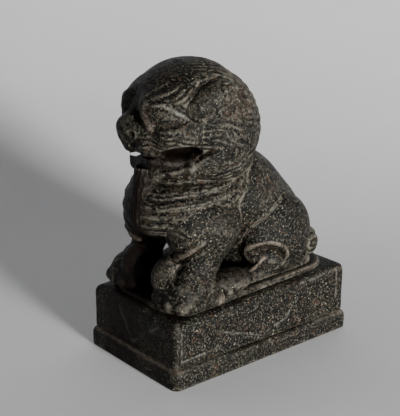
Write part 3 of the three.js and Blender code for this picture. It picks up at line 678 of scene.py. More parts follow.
def chest_ruff(p):
    """Bib of hair in layers that climb round to the back, with a tuft down its middle."""
    bib = ellipsoid(p, from_head(RUFF_PLACE), RUFF_SIZE, RUFF_SLOPE_DEGREES)
    tuft = limb(p, from_head(TUFT_START), from_head(TUFT_END), TUFT_DIAMETERS)
    beard = limb(p, from_head(BEARD_START), from_head(BEARD_END), BEARD_DIAMETERS)
    behind = np.maximum(p[1] + 10, 0)
    climb = p[2] - 0.1 * p[1] - 0.03 * behind ** 2 + 0.5 * value_noise(p, 5.0, SEED + 1)
    waved = climb + 0.15 * value_noise(p, 1, SEED + 9)
    layers = hair(climb / LAYER_PERIOD, LAYER_DEPTH) + hair(waved / FINE_LAYER_PERIOD, FINE_LAYER_DEPTH)
    strands = hair((p[0] + 0.4 * value_noise(p, 2, SEED + 7)) / TUFT_PERIOD, TUFT_DEPTH)
    middle = smooth_step(*TUFT_OUT, np.abs(p[0])) * smooth_step(*TUFT_ALONG, p[1])
    return blend(RUFF_FILLET, bib, tuft, beard) + layers * (1 - middle) + strands * middle


def head(p):
    h = on_head(p)
    m = mirrored(h)
    skull = ellipsoid(h, SKULL_PLACE, SKULL_SIZE)
    crown = ellipsoid(h, CROWN_PLACE, CROWN_SIZE)
    forehead = ellipsoid(h, FOREHEAD_PLACE, FOREHEAD_SIZE)
    brow = limb(m, BROW_START, BROW_END, BROW_DIAMETERS)
    face = ellipsoid(h, FACE_PLACE, FACE_SIZE)
    cheek = ellipsoid(m, CHEEK_PLACE, CHEEK_SIZE)
    muzzle = rounded_box(h, MUZZLE_PLACE, MUZZLE_SIZE, MUZZLE_RADIUS)
    nose = ellipsoid(h, NOSE_PLACE, NOSE_SIZE)
    nostril = ellipsoid(m, NOSTRIL_PLACE, NOSTRIL_SIZE)
    bridge = limb(h, BRIDGE_START, BRIDGE_END, BRIDGE_DIAMETERS)
    lip = limb(h, LIP_START, LIP_END, LIP_DIAMETERS)
    masses = blend(CHEEK_FILLET, blend(SKULL_FILLET, skull, crown, forehead, brow), face, cheek)
    solid = blend(MUZZLE_FILLET, masses, muzzle, nose, nostril, bridge, lip)
    return rounded_max(MOUTH_EDGE, with_face(solid, h, p), -mouth_hollow(p))


def with_face(solid, h, p):
    """The head with its eyes, lids, nose folds, nostrils, brow strokes, whiskers and locks."""
    m = mirrored(h)
    at_eye = tilted(m, EYE_PLACE, EYE_DIRECTION)
    socket = ellipsoid(at_eye, SOCKET_OFFSET, SOCKET_SIZE)
    eye = ellipsoid(at_eye, (0, 0, 0), EYE_SIZE)
    fold = ridge(m, NOSE_FOLD, NOSE_FOLD_DIAMETER)
    carved = blend(NOSE_FOLD_FILLET, rounded_max(SOCKET_EDGE, solid, -socket), fold)
    carved = blend(EYE_FILLET, carved, eye)
    carved = blend(LID_FILLET, carved, ridge(m, UPPER_LID, UPPER_LID_DIAMETER))
    flow = 0.74 * m[2] - 0.42 * m[1] + 0.3 * value_noise(p, 2.6, SEED + 2)
    on_brow = smooth_step(*BROW_BOTTOM, m[2] + 0.1 * m[1]) * smooth_step(*BROW_TOP, m[2])
    on_brow = on_brow * smooth_step(*BROW_OUT, m[0])
    on_cheek = smooth_step(*WHISKERS_UP, m[2] - 0.1 * m[1]) * smooth_step(*WHISKERS_ALONG, m[1])
    carved = carved + hair(flow / BROW_PERIOD, BROW_DEPTH) * on_brow + mane_strands(p) * on_cheek
    carved = carved + crown_locks(h, p) + ear_gap(h)
    return rounded_max(NOSTRIL_EDGE, carved, -ellipsoid(m, NOSTRIL_PIT_PLACE, NOSTRIL_PIT_SIZE))


def lower_jaw(p):
    h = on_head(p)
    m = mirrored(h)
    chin = rounded_box(h, CHIN_PLACE, CHIN_SIZE, CHIN_RADIUS)
    jowl = ellipsoid(m, JOWL_PLACE, JOWL_SIZE, JOWL_SLOPE_DEGREES)
    tongue = ellipsoid(m, TONGUE_PLACE, TONGUE_SIZE)
    body = rounded_max(MOUTH_EDGE, blend(JAW_FILLET, chin, jowl) + jaw_line(h), -mouth_hollow(p))
    fold = ridge(m, JAW_FOLD, JAW_FOLD_DIAMETER)
    return blend(TONGUE_FILLET, body, tongue, ridge(m, GUM, GUM_DIAMETER), fold)


def ear(p, side):
    h = on_head(p)
    own = np.sign(h[0]) == side
    leaf, distance = ear_leaf(h)
    curly = smooth_step(*EAR_CURLS_ALONG, leaf[1] - 0.7 * leaf[2])
    return np.where(own, distance + curls(p) * curly, FAR + np.abs(h[0]))


def toes(q, place, width, length, diameter):
    """Row of toes across the front of a paw."""
    row = []
    for i in range(TOES):
        share = 2 * i / (TOES - 1) - 1
        across = share * (width - diameter) / 2
        knuckle = (place[0] + across * TOE_TAPER, place[1] + length, place[2] + TOE_CLIMB * length)
        tip = (place[0] + across, place[1] + TOE_BOW * share ** 2, place[2])
        row.append(limb(q, knuckle, tip, (diameter * TOE_TAPER, diameter)))
    return row


def foreleg(p, side):
    """Foreleg with a strap of hair above the wrist, and a knuckle and a scroll of hair over the paw.

    Behind the wrist it is cut free of the belly, so that light passes under the lion.
    """
    q = beside_leg((side * p[0], p[1], p[2]), FORELEG_SPACING)
    elbow_diameter, wrist_diameter, ankle_diameter = FORELEG_DIAMETERS
    shoulder = ellipsoid(q, SHOULDER_PLACE, SHOULDER_SIZE)
    upper = limb(q, ELBOW, WRIST, (elbow_diameter, wrist_diameter))
    lower = limb(q, WRIST, ANKLE, (wrist_diameter, ankle_diameter))
    paw = rounded_box(q, FORE_PAW_PLACE, FORE_PAW_SIZE, FORE_PAW_RADIUS)
    knuckle = ellipsoid(q, KNUCKLE_PLACE, KNUCKLE_SIZE)
    scroll = ellipsoid(q, SCROLL_PLACE, SCROLL_SIZE)
    heel = ellipsoid(q, FORE_HEEL_PLACE, FORE_HEEL_SIZE)
    leg = blend(FORELEG_FILLET, shoulder, upper, lower, paw)
    leg = rounded_max(FLANK_EDGE, leg, -ellipsoid(p, PASSAGE_PLACE, PASSAGE_SIZE))
    strap = ridge(q, STRAP, STRAP_DIAMETER)
    beside_knuckle = cut_line(knuckle - EDGE_CUT_OFFSET, EDGE_CUT_WIDTH, KNUCKLE_CUT_DEPTH)
    beside_strap = cut_line(strap - EDGE_CUT_OFFSET, EDGE_CUT_WIDTH, STRAP_CUT_DEPTH)
    leg = blend(PAW_FILLET, leg, scroll, heel) + beside_knuckle * smooth_step(*KNUCKLE_CUT_OUT, q[0])
    leg = leg + beside_strap * smooth_step(*STRAP_CUT_UP, q[2])
    row = toes(q, FORE_TOES_PLACE, FORE_TOES_WIDTH, FORE_TOE_LENGTH, FORE_TOE_DIAMETER)
    body = blend(STRAP_FILLET, blend(TOE_FILLET, leg, *row), knuckle, strap)
    claws = (ridge(q, line, CLAW_DIAMETER) for line in (CLAW, TOE_LINE))
    crease = cut_line(stroke(q[1], q[2], SHOULDER_LINE), SHOULDER_LINE_WIDTH, SHOULDER_LINE_DEPTH)
    return blend(STRAP_FILLET, body, *claws) + crease * smooth_step(*SHOULDER_LINE_OUT, q[0])


def hind_leg(p, side):
    """Folded hind leg: a round thigh over a long foot, with a rimmed hollow between the two."""
    q = beside_leg((side * p[0], p[1], p[2]), HIND_LEG_SPACING)
    hollow = flank_hollow(p)
    rim = FLANK_RIM_HEIGHT * near(hollow - FLANK_RIM_OFFSET, FLANK_RIM_WIDTH)
    rim = rim * smooth_step(*FLANK_RIM_UP, q[2])
    thigh = ellipsoid(q, THIGH_PLACE, THIGH_SIZE, THIGH_SLOPE_DEGREES)
    thigh = rounded_max(THIGH_EDGE, thigh - rim, -hollow)
    calf = ellipsoid(q, CALF_PLACE, CALF_SIZE, CALF_SLOPE_DEGREES)
    foot = limb(q, HIND_HEEL, HIND_INSTEP, HIND_FOOT_DIAMETERS)
    paw = ellipsoid(q, HIND_PAW_PLACE, HIND_PAW_SIZE)
    row = toes(q, HIND_TOES_PLACE, HIND_TOES_WIDTH, HIND_TOE_LENGTH, HIND_TOE_DIAMETER)
    body = blend(HIND_LEG_FILLET, thigh, calf, foot, paw)
    return blend(STRAP_FILLET, body, ridge(q, CALF_FOLD, CALF_FOLD_DIAMETER), *row)


def tail(p):
    """Tail that drops from the rump and curls round to the lion's left, with a spiral cut into its end."""
    drop = limb(p, TAIL_START, TAIL_END, TAIL_DIAMETERS)
    tuft = ellipsoid(p, TAIL_TUFT_PLACE, TAIL_TUFT_SIZE)
    along, up = p[1] - TAIL_TUFT_PLACE[1], p[2] - TAIL_TUFT_PLACE[2]
    spiral = np.hypot(along, up) + TAIL_SPIRAL_CLIMB * np.arctan2(up, along)
    cuts = hair(spiral / TAIL_PERIOD, TAIL_DEPTH) * smooth_step(*TAIL_OUT, p[0])
    return blend(TAIL_FILLET, drop, tuft) + cuts


LION = {
    "torso": torso,
    "mane": mane,
    "chest_ruff": chest_ruff,
    "head": head,
    "lower_jaw": lower_jaw,
    "left_ear": lambda p: ear(p, 1),
    "right_ear": lambda p: ear(p, -1),
    "left_foreleg": lambda p: foreleg(p, 1),
    "right_foreleg": lambda p: foreleg(p, -1),
    "left_hind_leg": lambda p: hind_leg(p, 1),
    "right_hind_leg": lambda p: hind_leg(p, -1),
    "tail": tail,
}
# How far a form stands in front of its neighbours where they run into each other.
PROUD = {"chest_ruff": 4, "mane": 4, "head": 4, "lower_jaw": 8, "left_ear": 8, "right_ear": 8, "tail": 2}


def ground_level(y):
    """Height of the block's top, which climbs from the front of the base to its back."""
    return BLOCK_RISE * y / BASE_LENGTH


def beside_slab(p):
    """Distance in plan from the side of the ground slab."""
    hx = BASE_WIDTH / 2 - GROUND_MARGIN - GROUND_CORNER_RADIUS
    hy = BASE_LENGTH / 2 - GROUND_MARGIN - GROUND_CORNER_RADIUS
    across, along = np.maximum(np.abs(p[0]) - hx, 0), np.maximum(np.abs(p[1]) - hy, 0)
    return np.hypot(across, along) - GROUND_CORNER_RADIUS


def above_slab(p):
    """Height over the top of the ground slab."""
    return p[2] - ground_level(p[1]) - GROUND_HEIGHT


def slab(p):
    return rounded_max(GROUND_EDGE_ROUNDING, beside_slab(p), above_slab(p))


def stone_skin(p):
    """Unevenness that hand cutting and handling leave on the stone."""
    waves = SKIN_WAVE_HEIGHT * value_noise(p, SKIN_WAVE_LENGTH, SEED + 5)
    return waves + SKIN_GRAIN_HEIGHT * value_noise(p, SKIN_GRAIN_LENGTH, SEED + 6)


def lion_piece(name):
    """The part of the lion that belongs to one carved form, cut by its neighbours."""
    low, high = piece_box(name)
    neighbours = [other for other in LION if boxes_meet((low, high), piece_box(other))]

    def field(p):
        q = on_lion(p)
        forms = {other: LION[other](q) for other in neighbours}
        whole = blend(SEAM_FILLET, *forms.values()) + stone_skin(q)
        whole = rounded_max(DRILL_EDGE, whole, -drilled_hole(q))
        own = forms[name]
        for other in neighbours:
            if other == name:
                continue
            lead = PROUD.get(name, 0) - PROUD.get(other, 0)
            whole = np.maximum(whole, border(own, forms[other], lead) - SEAM_OVERLAP)
        under = np.maximum(-slab(q), ground_level(q[1]) - q[2]) - SEAM_OVERLAP
        return np.maximum(whole, np.minimum(under, FAR))

    return field


def border(own, other, lead):
    """Below zero where a place belongs to a form and not to its neighbour."""
    if lead < 0:
        return -border(other, own, -lead)
    middle = (own - other) / 2
    return np.maximum(middle - lead / 2, np.minimum(own, middle))


def plan_distance(p, inset, radius):
    """Distance in plan to the base's outline, set in by an inset."""
    hx, hy = BASE_WIDTH / 2 - inset - radius, BASE_LENGTH / 2 - inset - radius
    dx, dy = np.abs(p[0]) - hx, np.abs(p[1]) - hy
    outside = np.hypot(np.maximum(dx, 0), np.maximum(dy, 0))
    return outside + np.minimum(np.maximum(dx, dy), 0) - radius


def plinth(p):
    side = plan_distance(p, SKIN_ROOM, PLINTH_CORNER_RADIUS)
    body = rounded_max(2 * PLINTH_EDGE_RADIUS, side, p[2] - PLINTH_HEIGHT)
    return np.maximum(body + stone_skin(p) * smooth_step(*PLINTH_SKIN_UP, p[2]), -p[2])


def block_lines(p):
    """Share of the lines that are cut into the block's sides, from 0 beside them to 1 on them."""
    up = p[2] - LION_FOOT
    on_long_side = smooth_step(*BLOCK_SIDE_OUT, np.abs(p[0]) - BASE_WIDTH / 2)
    on_short_side = smooth_step(*BLOCK_SIDE_OUT, np.abs(p[1]) - BASE_LENGTH / 2)
    long_lines = sum(cut_line(stroke(p[1], up, line), BLOCK_LINE_WIDTH, 1) for line in LONG_SIDE_LINES)
    short_lines = sum(cut_line(stroke(p[0], up, line), BLOCK_LINE_WIDTH, 1) for line in SHORT_SIDE_LINES)
    return np.clip(long_lines * on_long_side + short_lines * on_short_side, 0, 1)


def seal_block(p):
    up = p[2] - BLOCK_FOOT
    lift = np.clip(up / BLOCK_HEIGHT, 0, 1) * ground_level(p[1])
    side = plan_distance(p, BLOCK_SETBACK, BLOCK_CORNER_RADIUS)
    body = rounded_max(2 * BLOCK_EDGE_RADIUS, side, up - lift - BLOCK_HEIGHT)
    under = -GROOVE_HEIGHT - SEAM_OVERLAP - up
    body = np.maximum(body, rounded_max(BLOCK_FOOT_ROUNDING, side, under))
    return body + stone_skin(p) + BLOCK_LINE_DEPTH * block_lines(p)


def ground_slab(p):
    q = on_lion(p)
    return np.maximum(slab(q) + stone_skin(q), ground_level(q[1]) - GROUND_ROOT - q[2])


BASE = {"plinth": plinth, "seal_block": seal_block, "ground_slab": ground_slab}


def piece_box(name):
    """Box of a piece in millimetres, with room for its carving."""
    low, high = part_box(name)
    return [c / MM - PIECE_ROOM for c in low], [c / MM + PIECE_ROOM for c in high]


def boxes_meet(a, b):
    return all(a[0][i] < b[1][i] and b[0][i] < a[1][i] for i in range(3))


def sample(field, low, high, cell):
    """Values of a field on a lattice, worked out only in the blocks that its surface may cross."""
    n = BLOCK_CELLS
    blocks = [int(math.ceil((high[i] - low[i]) / cell / n)) for i in range(3)]
    shape = [b * n for b in blocks]
    values = np.empty(shape, np.float32)
    axis = [low[i] + cell * (np.arange(blocks[i]) * n + (n - 1) / 2) for i in range(3)]
    middles = np.stack([g.ravel() for g in np.meshgrid(*axis, indexing="ij")]).astype(np.float32)
    rough = field(middles)
    reach = REACH_FACTOR * cell * n * math.sqrt(3) / 2 + REACH_ROOM
    split = values.reshape(blocks[0], n, blocks[1], n, blocks[2], n).transpose(0, 2, 4, 1, 3, 5)
    split[...] = rough.reshape(blocks)[..., None, None, None]
    step = np.stack([g.ravel() for g in np.meshgrid(*[np.arange(n)] * 3, indexing="ij")])
    offset = (cell * (step - (n - 1) / 2)).astype(np.float32)
    active = np.flatnonzero(np.abs(rough) < reach)
    for chunk in np.array_split(active, max(1, len(active) // BLOCKS_AT_ONCE)):
        if not len(chunk):
            continue
        places = middles[:, chunk, None] + offset[:, None, :]
        found = field(places.reshape(3, -1)).reshape(len(chunk), n, n, n)
        bx, by, bz = np.unravel_index(chunk, blocks)
        split[bx, by, bz] = found
    return values


def cell_beside(edge, u, v, du, dv, shape):
    """The cell on one of the four sides of each edge, and whether it lies in the lattice."""
    owner = edge.copy()
    owner[:, u] -= du
    owner[:, v] -= dv
    return owner, np.all((owner >= 0) & (owner < shape), axis=1)


def surface(values, low, cell):
    """Closed quads on the zero surface: a corner in each crossed cell, a face on each crossed edge."""
    inside = values < 0
    shape = [s - 1 for s in values.shape]
    total = np.zeros(shape + [3], np.float32)
    count = np.zeros(shape, np.int32)
    crossings = []
    for axis in range(3):
        a = [slice(None)] * 3
        b = [slice(None)] * 3
        a[axis], b[axis] = slice(0, -1), slice(1, None)
        edge = np.argwhere(inside[tuple(a)] != inside[tuple(b)])
        va = values[tuple(a)][tuple(edge.T)]
        vb = values[tuple(b)][tuple(edge.T)]
        place = edge.astype(np.float32)
        place[:, axis] += va / (va - vb)
        crossings.append((axis, edge, va))
        u, v = [i for i in range(3) if i != axis]
        for du, dv in ((0, 0), (0, 1), (1, 0), (1, 1)):
            owner, fits = cell_beside(edge, u, v, du, dv, shape)
            index = tuple(owner[fits].T)
            np.add.at(total, index, place[fits])
            np.add.at(count, index, 1)
    used = count > 0
    number = np.full(shape, -1, np.int64)
    number[used] = np.arange(int(used.sum()))
    points = total[used] / count[used][:, None] * cell + np.array(low, np.float32)
    quads = []
    for axis, edge, va in crossings:
        u, v = [(axis + 1) % 3, (axis + 2) % 3]
        ring = []
        for du, dv in ((0, 0), (1, 0), (1, 1), (0, 1)):
            owner, fits = cell_beside(edge, u, v, du, dv, shape)
            place = np.clip(owner, 0, np.array(shape) - 1)
            ring.append(np.where(fits, number[tuple(place.T)], -1))
        quad = np.stack(ring, axis=1)
        quad[va >= 0] = quad[va >= 0][:, ::-1]
        quads.append(quad[(quad >= 0).all(axis=1)])
    return points, np.concatenate(quads)


def largest_lump(points, quads):
    """The largest connected part of a surface."""
    label = np.arange(len(points))
    while True:
        lowest = label[quads].min(axis=1)
        spread = label.copy()
        for corner in range(4):
            np.minimum.at(spread, quads[:, corner], lowest)
        spread = spread[spread]
        if np.array_equal(spread, label):
            break
        label = spread
    names, sizes = np.unique(label, return_counts=True)
    keep = label == names[sizes.argmax()]
    renumber = np.cumsum(keep) - 1
    return points[keep], renumber[quads[keep[quads].all(axis=1)]]


def relaxed(points, quads, rounds):
    """Points moved to the middle of their neighbours, a number of times."""
    pairs = np.concatenate([quads[:, [i, (i + 1) % 4]] for i in range(4)])
    count = np.bincount(pairs[:, 0], minlength=len(points))[:, None]
    for _ in range(rounds):
        total = [np.bincount(pairs[:, 0], points[pairs[:, 1], i], len(points)) for i in range(3)]
        points = np.stack(total, axis=1) / np.maximum(count, 1)
    return points


def depth_below(points, quads, normals, rounds):
    """How deep each spot lies below its smoothed surroundings, below zero where it stands proud."""
    return ((relaxed(points, quads, rounds) - points) * normals).sum(axis=1)


def carve(name, field):
    """The visible stone of one piece, with its hollows, residue, dust, and painted shade with grime stored on
    each spot.
    """
    low, high = piece_box(name)
    points, quads = surface(sample(field, low, high, CELL[name]), low, CELL[name])
    points, quads = largest_lump(points, quads)
    points = points * (1 - SOFTENING) + relaxed(points, quads, 1) * SOFTENING
    mesh = bpy.data.meshes.new(name + "_stone")
    mesh.from_pydata((points * MM).tolist(), [], quads.tolist())
    mesh.update()
    mesh.shade_smooth()
    normals = np.empty(len(points) * 3, np.float32)
    mesh.vertex_normals.foreach_get("vector", normals)
    normals = normals.reshape(-1, 3)
    marks = {
        "fine_hollow": depth_below(points, quads, normals, FINE_ROUNDS) * EDGE_WEAR_AND_SHADE.get(name, 1),
        "broad_hollow": depth_below(points, quads, normals, BROAD_ROUNDS),
        "residue": residue(points),
        "chalk": chalk(points),
        "shade_and_grime": shade_and_grime(points),
    }
    for mark, values in marks.items():
        attribute = mesh.attributes.new(mark, "FLOAT", "POINT")
        attribute.data.foreach_set("value", values.astype(np.float32))
    piece = bpy.data.objects.new(name + "_stone", mesh)
    bpy.context.scene.collection.objects.link(piece)
    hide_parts(name)
    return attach(piece, "root")


def residue(points):
    """Share of tan residue on each spot: rims, ridges, lumps and ledges that hold it."""
    q = on_lion(points.T)
    m = mirrored(q)
    fore, hind = beside_leg(m, FORELEG_SPACING), beside_leg(m, HIND_LEG_SPACING)
    on_rim = smooth_step(6.5, 7.8, q[2]) * smooth_step(-6, -4, q[1]) * smooth_step(7.4, 5.4, q[1])
    rim = RIM_RESIDUE * near(flank_hollow(q) - 0.4, 0.15) * on_rim
    on_strap = smooth_step(0.2, -0.1, ridge(fore, STRAP, STRAP_DIAMETER))
    strap = STRAP_RESIDUE * on_strap * smooth_step(13, 11.4, q[2])
    fold = FOLD_RESIDUE * smooth_step(0.15, -0.1, ridge(hind, CALF_FOLD, CALF_FOLD_DIAMETER))
    heel = HEEL_RESIDUE * smooth_step(0.4, -0.2, ellipsoid(fore, FORE_HEEL_PLACE, FORE_HEEL_SIZE))
    edge = np.hypot(beside_slab(q) + 0.3, above_slab(q) + 0.2)
    ledge = near(edge, 0.17) * smooth_step(-6, 0, q[1]) * (0.5 + 0.5 * smooth_step(4, 12, q[1]))
    at_ends = smooth_step(14, 20, q[1]) + smooth_step(-19, -22, q[1])
    joint = JOINT_RESIDUE * near(points[:, 2] - PLINTH_HEIGHT, 0.25) * at_ends
    h = on_head(q)
    nose = NOSE_RESIDUE * smooth_step(0.7, 0, ridge(mirrored(h), NOSE_FOLD, NOSE_FOLD_DIAMETER))
    hair_share = CURL_RESIDUE * curly_share(h)
    return np.clip(rim + strap + fold + heel + ledge + joint + nose + hair_share, 0, 1)


def shade_and_grime(points):
    """Share of dark brown painted shade, with some grime, in the mouth, down to the jaw's cut and under the
    chin, and of darker brown on the upper part of the hind paws.
    """
    q = on_lion(points.T)
    h = mirrored(on_head(q))
    # Painted shade, with some grime, inside the mouth.
    in_mouth = smooth_step(0.25, -0.05, mouth_hollow(q))
    cut = np.interp(h[1], *zip(*JAW_LINE))
    # Painted shade with grime on the gum just above the jaw's cut.
    on_gum = smooth_step(-0.1, 0.4, h[2] - cut) * smooth_step(-4, -4.8, h[2]) * smooth_step(1, 0, h[1])
    # Darker brown on the upper part of the hind paws.
    paw = ellipsoid(beside_leg(mirrored(q), HIND_LEG_SPACING), HIND_PAW_PLACE, HIND_PAW_SIZE)
    on_paw = smooth_step(0.4, 0, paw) * smooth_step(2, 3, q[2])
    # Painted shade under the chin.
    throat = smooth_step(-5, -7, h[1]) * smooth_step(-7.4, -8.6, h[2]) * smooth_step(6, 4, h[0])
    return np.clip(in_mouth + GUM_SHADE_AND_GRIME * on_gum + throat + PAW_DARKENING * on_paw, 0, 1)


def chalk(points):
    """Share of pale dust on each spot: the block's lines, the plinth's edge and the upper eyelids."""
    q = on_lion(points.T)
    at_ends = smooth_step(8, 16, q[1]) + smooth_step(-6, -14, q[1])
    edge = near(points[:, 2] - PLINTH_HEIGHT + 0.1, 0.22) * at_ends
    lid = LID_DUST * near(ridge(mirrored(on_head(q)), UPPER_LID, UPPER_LID_DIAMETER), 0.1)
    return np.clip(LINE_DUST * block_lines(points.T) + EDGE_DUST * edge + lid, 0, 1)


class Nodes:
    """Short way to add shader nodes and join them."""

    def __init__(self, name):
        self.material = bpy.data.materials.new(name)
        self.material.use_nodes = True
        self.tree = self.material.node_tree
        self.shader = self.tree.nodes["Principled BSDF"]

    def add(self, kind, **settings):
        node = self.tree.nodes.new(kind)
        for key, value in settings.items():
            setattr(node, key, value)
        return node

    def join(self, source, target):
        self.tree.links.new(source, target)

    def place(self):
        if not hasattr(self, "coordinates"):
            self.coordinates = self.add("ShaderNodeTexCoord").outputs["Object"]
        return self.coordinates

    def noise(self, scale, detail=4.0, roughness=0.6):
        node = self.add("ShaderNodeTexNoise")
        node.inputs["Scale"].default_value = scale
        node.inputs["Detail"].default_value = detail
        node.inputs["Roughness"].default_value = roughness
        self.join(self.place(), node.inputs["Vector"])
        return node.outputs["Fac"]

    def attribute(self, name):
        return self.add("ShaderNodeAttribute", attribute_name=name).outputs["Fac"]

    def ramp(self, source, low, high, to_low=0.0, to_high=1.0):
        node = self.add("ShaderNodeMapRange")
        self.join(source, node.inputs["Value"])
        for key, value in zip(("From Min", "From Max", "To Min", "To Max"), (low, high, to_low, to_high)):
            node.inputs[key].default_value = value
        return node.outputs["Result"]

    def times(self, a, b):
        node = self.add("ShaderNodeMath", operation="MULTIPLY")
        self.join(a, node.inputs[0])
        self.join(b, node.inputs[1])
        return node.outputs[0]

    def tint(self, share, base, colour):
        node = self.add("ShaderNodeMix", data_type="RGBA")
        self.join(share, node.inputs["Factor"])
        if isinstance(base, tuple):
            node.inputs["A"].default_value = (*base, 1)
        else:
            self.join(base, node.inputs["A"])
        node.inputs["B"].default_value = (*colour, 1)
        return node.outputs["Result"]

    def cover(self, share, most, base, colour):
        """Colour laid over a base by its share on each spot, hiding at most the given part of the base."""
        return self.tint(self.ramp(share, 0, 1, 0, most), base, colour)


def stone_material():
    """Dark speckled stone: fine pale and rusty grains, brown dust in the cuts, painted shade in the cuts and
    hollows, painted shade with some grime in the mouth and under the chin, worn edges, a hand polish.
    """
    n = Nodes("dark_stone")
    hollow = n.attribute("fine_hollow")
    clouds = n.ramp(n.noise(420, 6.0, 0.7), 0.38, 0.64)
    colour = n.tint(clouds, STONE_DARK, STONE_LIGHT)
    rust = n.times(n.ramp(n.noise(1500, 3.0), 0.52, 0.66), n.ramp(n.noise(240), 0.42, 0.6))
    colour = n.cover(rust, 0.85, colour, RUST_COLOUR)
    moss = n.times(n.ramp(n.noise(1800, 3.0), 0.52, 0.64), n.ramp(n.noise(170), 0.5, 0.64))
    colour = n.cover(moss, 0.8, colour, MOSS_COLOUR)
    grains = n.ramp(n.noise(2300, 2.0, 0.6), 0.56, 0.63)
    colour = n.cover(grains, 0.75, colour, GRAIN_COLOUR)
    sparks = n.times(n.ramp(n.noise(2600, 2.0, 0.7), 0.65, 0.69), n.ramp(n.noise(350), 0.4, 0.6, 0.2, 1))
    colour = n.cover(sparks, 0.9, colour, SPARK_COLOUR)
    # Painted shade: the cuts and small hollows are darkened towards near-black.
    cuts = n.ramp(hollow, 0.01, 0.07, 0, 0.42)
    colour = n.tint(cuts, colour, CUT_SHADE_COLOUR)
    dust = n.times(n.ramp(hollow, 0.005, 0.07), n.ramp(n.noise(420), 0.5, 0.62))
    colour = n.cover(dust, 0.5, colour, DUST_COLOUR)
    worn = n.times(n.ramp(hollow, -0.008, -0.05), n.ramp(n.noise(900), 0.4, 0.58))
    colour = n.cover(worn, 0.65, colour, WORN_COLOUR)
    # Painted shade: broad hollows are darkened.
    deep = n.ramp(n.attribute("broad_hollow"), 0.2, 1.0, 0, 0.5)
    colour = n.tint(deep, colour, DEEP_SHADE_COLOUR)
    # Painted shade with some grime in the mouth, by the jaw's cut and under the chin, and a darker brown on
    # the hind paws.
    colour = n.cover(n.attribute("shade_and_grime"), 0.9, colour, SHADE_AND_GRIME_COLOUR)
    tan = n.times(n.attribute("residue"), n.ramp(n.noise(1100), 0.36, 0.6))
    colour = n.cover(tan, 0.75, colour, RESIDUE_COLOUR)
    pale = n.times(n.attribute("chalk"), n.ramp(n.noise(800), 0.38, 0.58))
    colour = n.cover(pale, 0.75, colour, CHALK_COLOUR)
    n.join(colour, n.shader.inputs["Base Color"])
    polish = n.ramp(n.noise(700), 0.3, 0.7, POLISHED_ROUGHNESS, DULL_ROUGHNESS)
    n.join(polish, n.shader.inputs["Roughness"])
    n.shader.inputs["Specular IOR Level"].default_value = STONE_SPECULAR
    bump = n.add("ShaderNodeBump")
    bump.inputs["Strength"].default_value = GRAIN_RELIEF_STRENGTH
    bump.inputs["Distance"].default_value = GRAIN_RELIEF
    n.join(n.noise(2600, 5.0, 0.7), bump.inputs["Height"])
    n.join(bump.outputs["Normal"], n.shader.inputs["Normal"])
    return n.material


def paper_material():
    n = Nodes("pale_paper")
    colour = n.tint(n.ramp(n.noise(18), 0.35, 0.65), PAPER_DARK, PAPER_LIGHT)
    n.join(colour, n.shader.inputs["Base Color"])
    n.shader.inputs["Roughness"].default_value = PAPER_ROUGHNESS
    return n.material


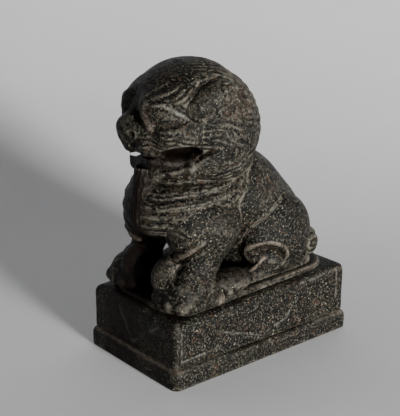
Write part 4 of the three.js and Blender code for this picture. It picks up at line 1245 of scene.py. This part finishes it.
def make_floor():
    """Sheet of pale paper that lies flat under the stone and curves up behind it."""
    mesh = bpy.data.meshes.new("floor")
    away = -facing(CAMERA_AZIMUTH, 0)
    beside = Vector((-away.y, away.x, 0))
    profile = [(-FLOOR_IN_FRONT, 0.0)]
    for i in range(SWEEP_STEPS + 1):
        turn = math.radians(SWEEP_DEGREES) * i / SWEEP_STEPS
        profile.append((FLOOR_BEHIND + SWEEP_RADIUS * math.sin(turn), SWEEP_RADIUS * (1 - math.cos(turn))))
    slope = math.radians(SWEEP_DEGREES)
    reach, height = profile[-1]
    profile.append((reach + SWEEP_HEIGHT * math.cos(slope), height + SWEEP_HEIGHT * math.sin(slope)))
    corners = []
    for reach, height in profile:
        for side in (1, -1):
            corners.append(away * reach + beside * (side * FLOOR_WIDTH / 2) + Vector((0, 0, height)))
    faces = [(2 * i, 2 * i + 2, 2 * i + 3, 2 * i + 1) for i in range(len(profile) - 1)]
    mesh.from_pydata(corners, [], faces)
    mesh.shade_smooth()
    mesh.materials.append(paper_material())
    floor = bpy.data.objects.new("floor", mesh)
    bpy.context.scene.collection.objects.link(floor)


def facing(azimuth, elevation):
    """Direction from the object towards a viewer or a lamp."""
    a, e = math.radians(azimuth), math.radians(elevation)
    return Vector((math.sin(a) * math.cos(e), -math.cos(a) * math.cos(e), math.sin(e)))


def make_lamp(name, azimuth, elevation, distance, size, power):
    lamp = bpy.data.lights.new(name, "AREA")
    lamp.size = size
    lamp.energy = power
    holder = bpy.data.objects.new(name, lamp)
    direction = facing(azimuth, elevation)
    holder.location = Vector(LAMP_AIM) + direction * distance
    holder.rotation_euler = direction.to_track_quat("Z", "Y").to_euler()
    bpy.context.scene.collection.objects.link(holder)


def make_light():
    make_lamp("key", **KEY_LAMP)
    make_lamp("fill", **FILL_LAMP)
    world = bpy.data.worlds.new("studio")
    world.use_nodes = True
    sky = world.node_tree.nodes["Background"]
    sky.inputs["Color"].default_value = (*SKY_COLOUR, 1)
    sky.inputs["Strength"].default_value = SKY_STRENGTH
    bpy.context.scene.world = world


def make_camera():
    data = bpy.data.cameras.new("camera")
    data.sensor_width = SENSOR
    data.lens = SENSOR * FOCAL_PIXELS / PICTURE_LONG_SIDE
    data.clip_start = CAMERA_CLIP * MM
    camera = bpy.data.objects.new("camera", data)
    direction = facing(CAMERA_AZIMUTH, CAMERA_ELEVATION)
    camera.location = (Vector(CAMERA_TARGET) + direction * CAMERA_DISTANCE) * MM
    turn = direction.to_track_quat("Z", "Y").to_matrix() @ Matrix.Rotation(math.radians(CAMERA_ROLL), 3, "Z")
    camera.rotation_euler = turn.to_euler()
    bpy.context.scene.collection.objects.link(camera)
    bpy.context.scene.camera = camera


def main():
    make_camera()
    make_floor()
    make_light()
    stone = stone_material()
    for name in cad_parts:
        field = BASE[name] if name in BASE else lion_piece(name)
        carve(name, field).data.materials.append(stone)


main()
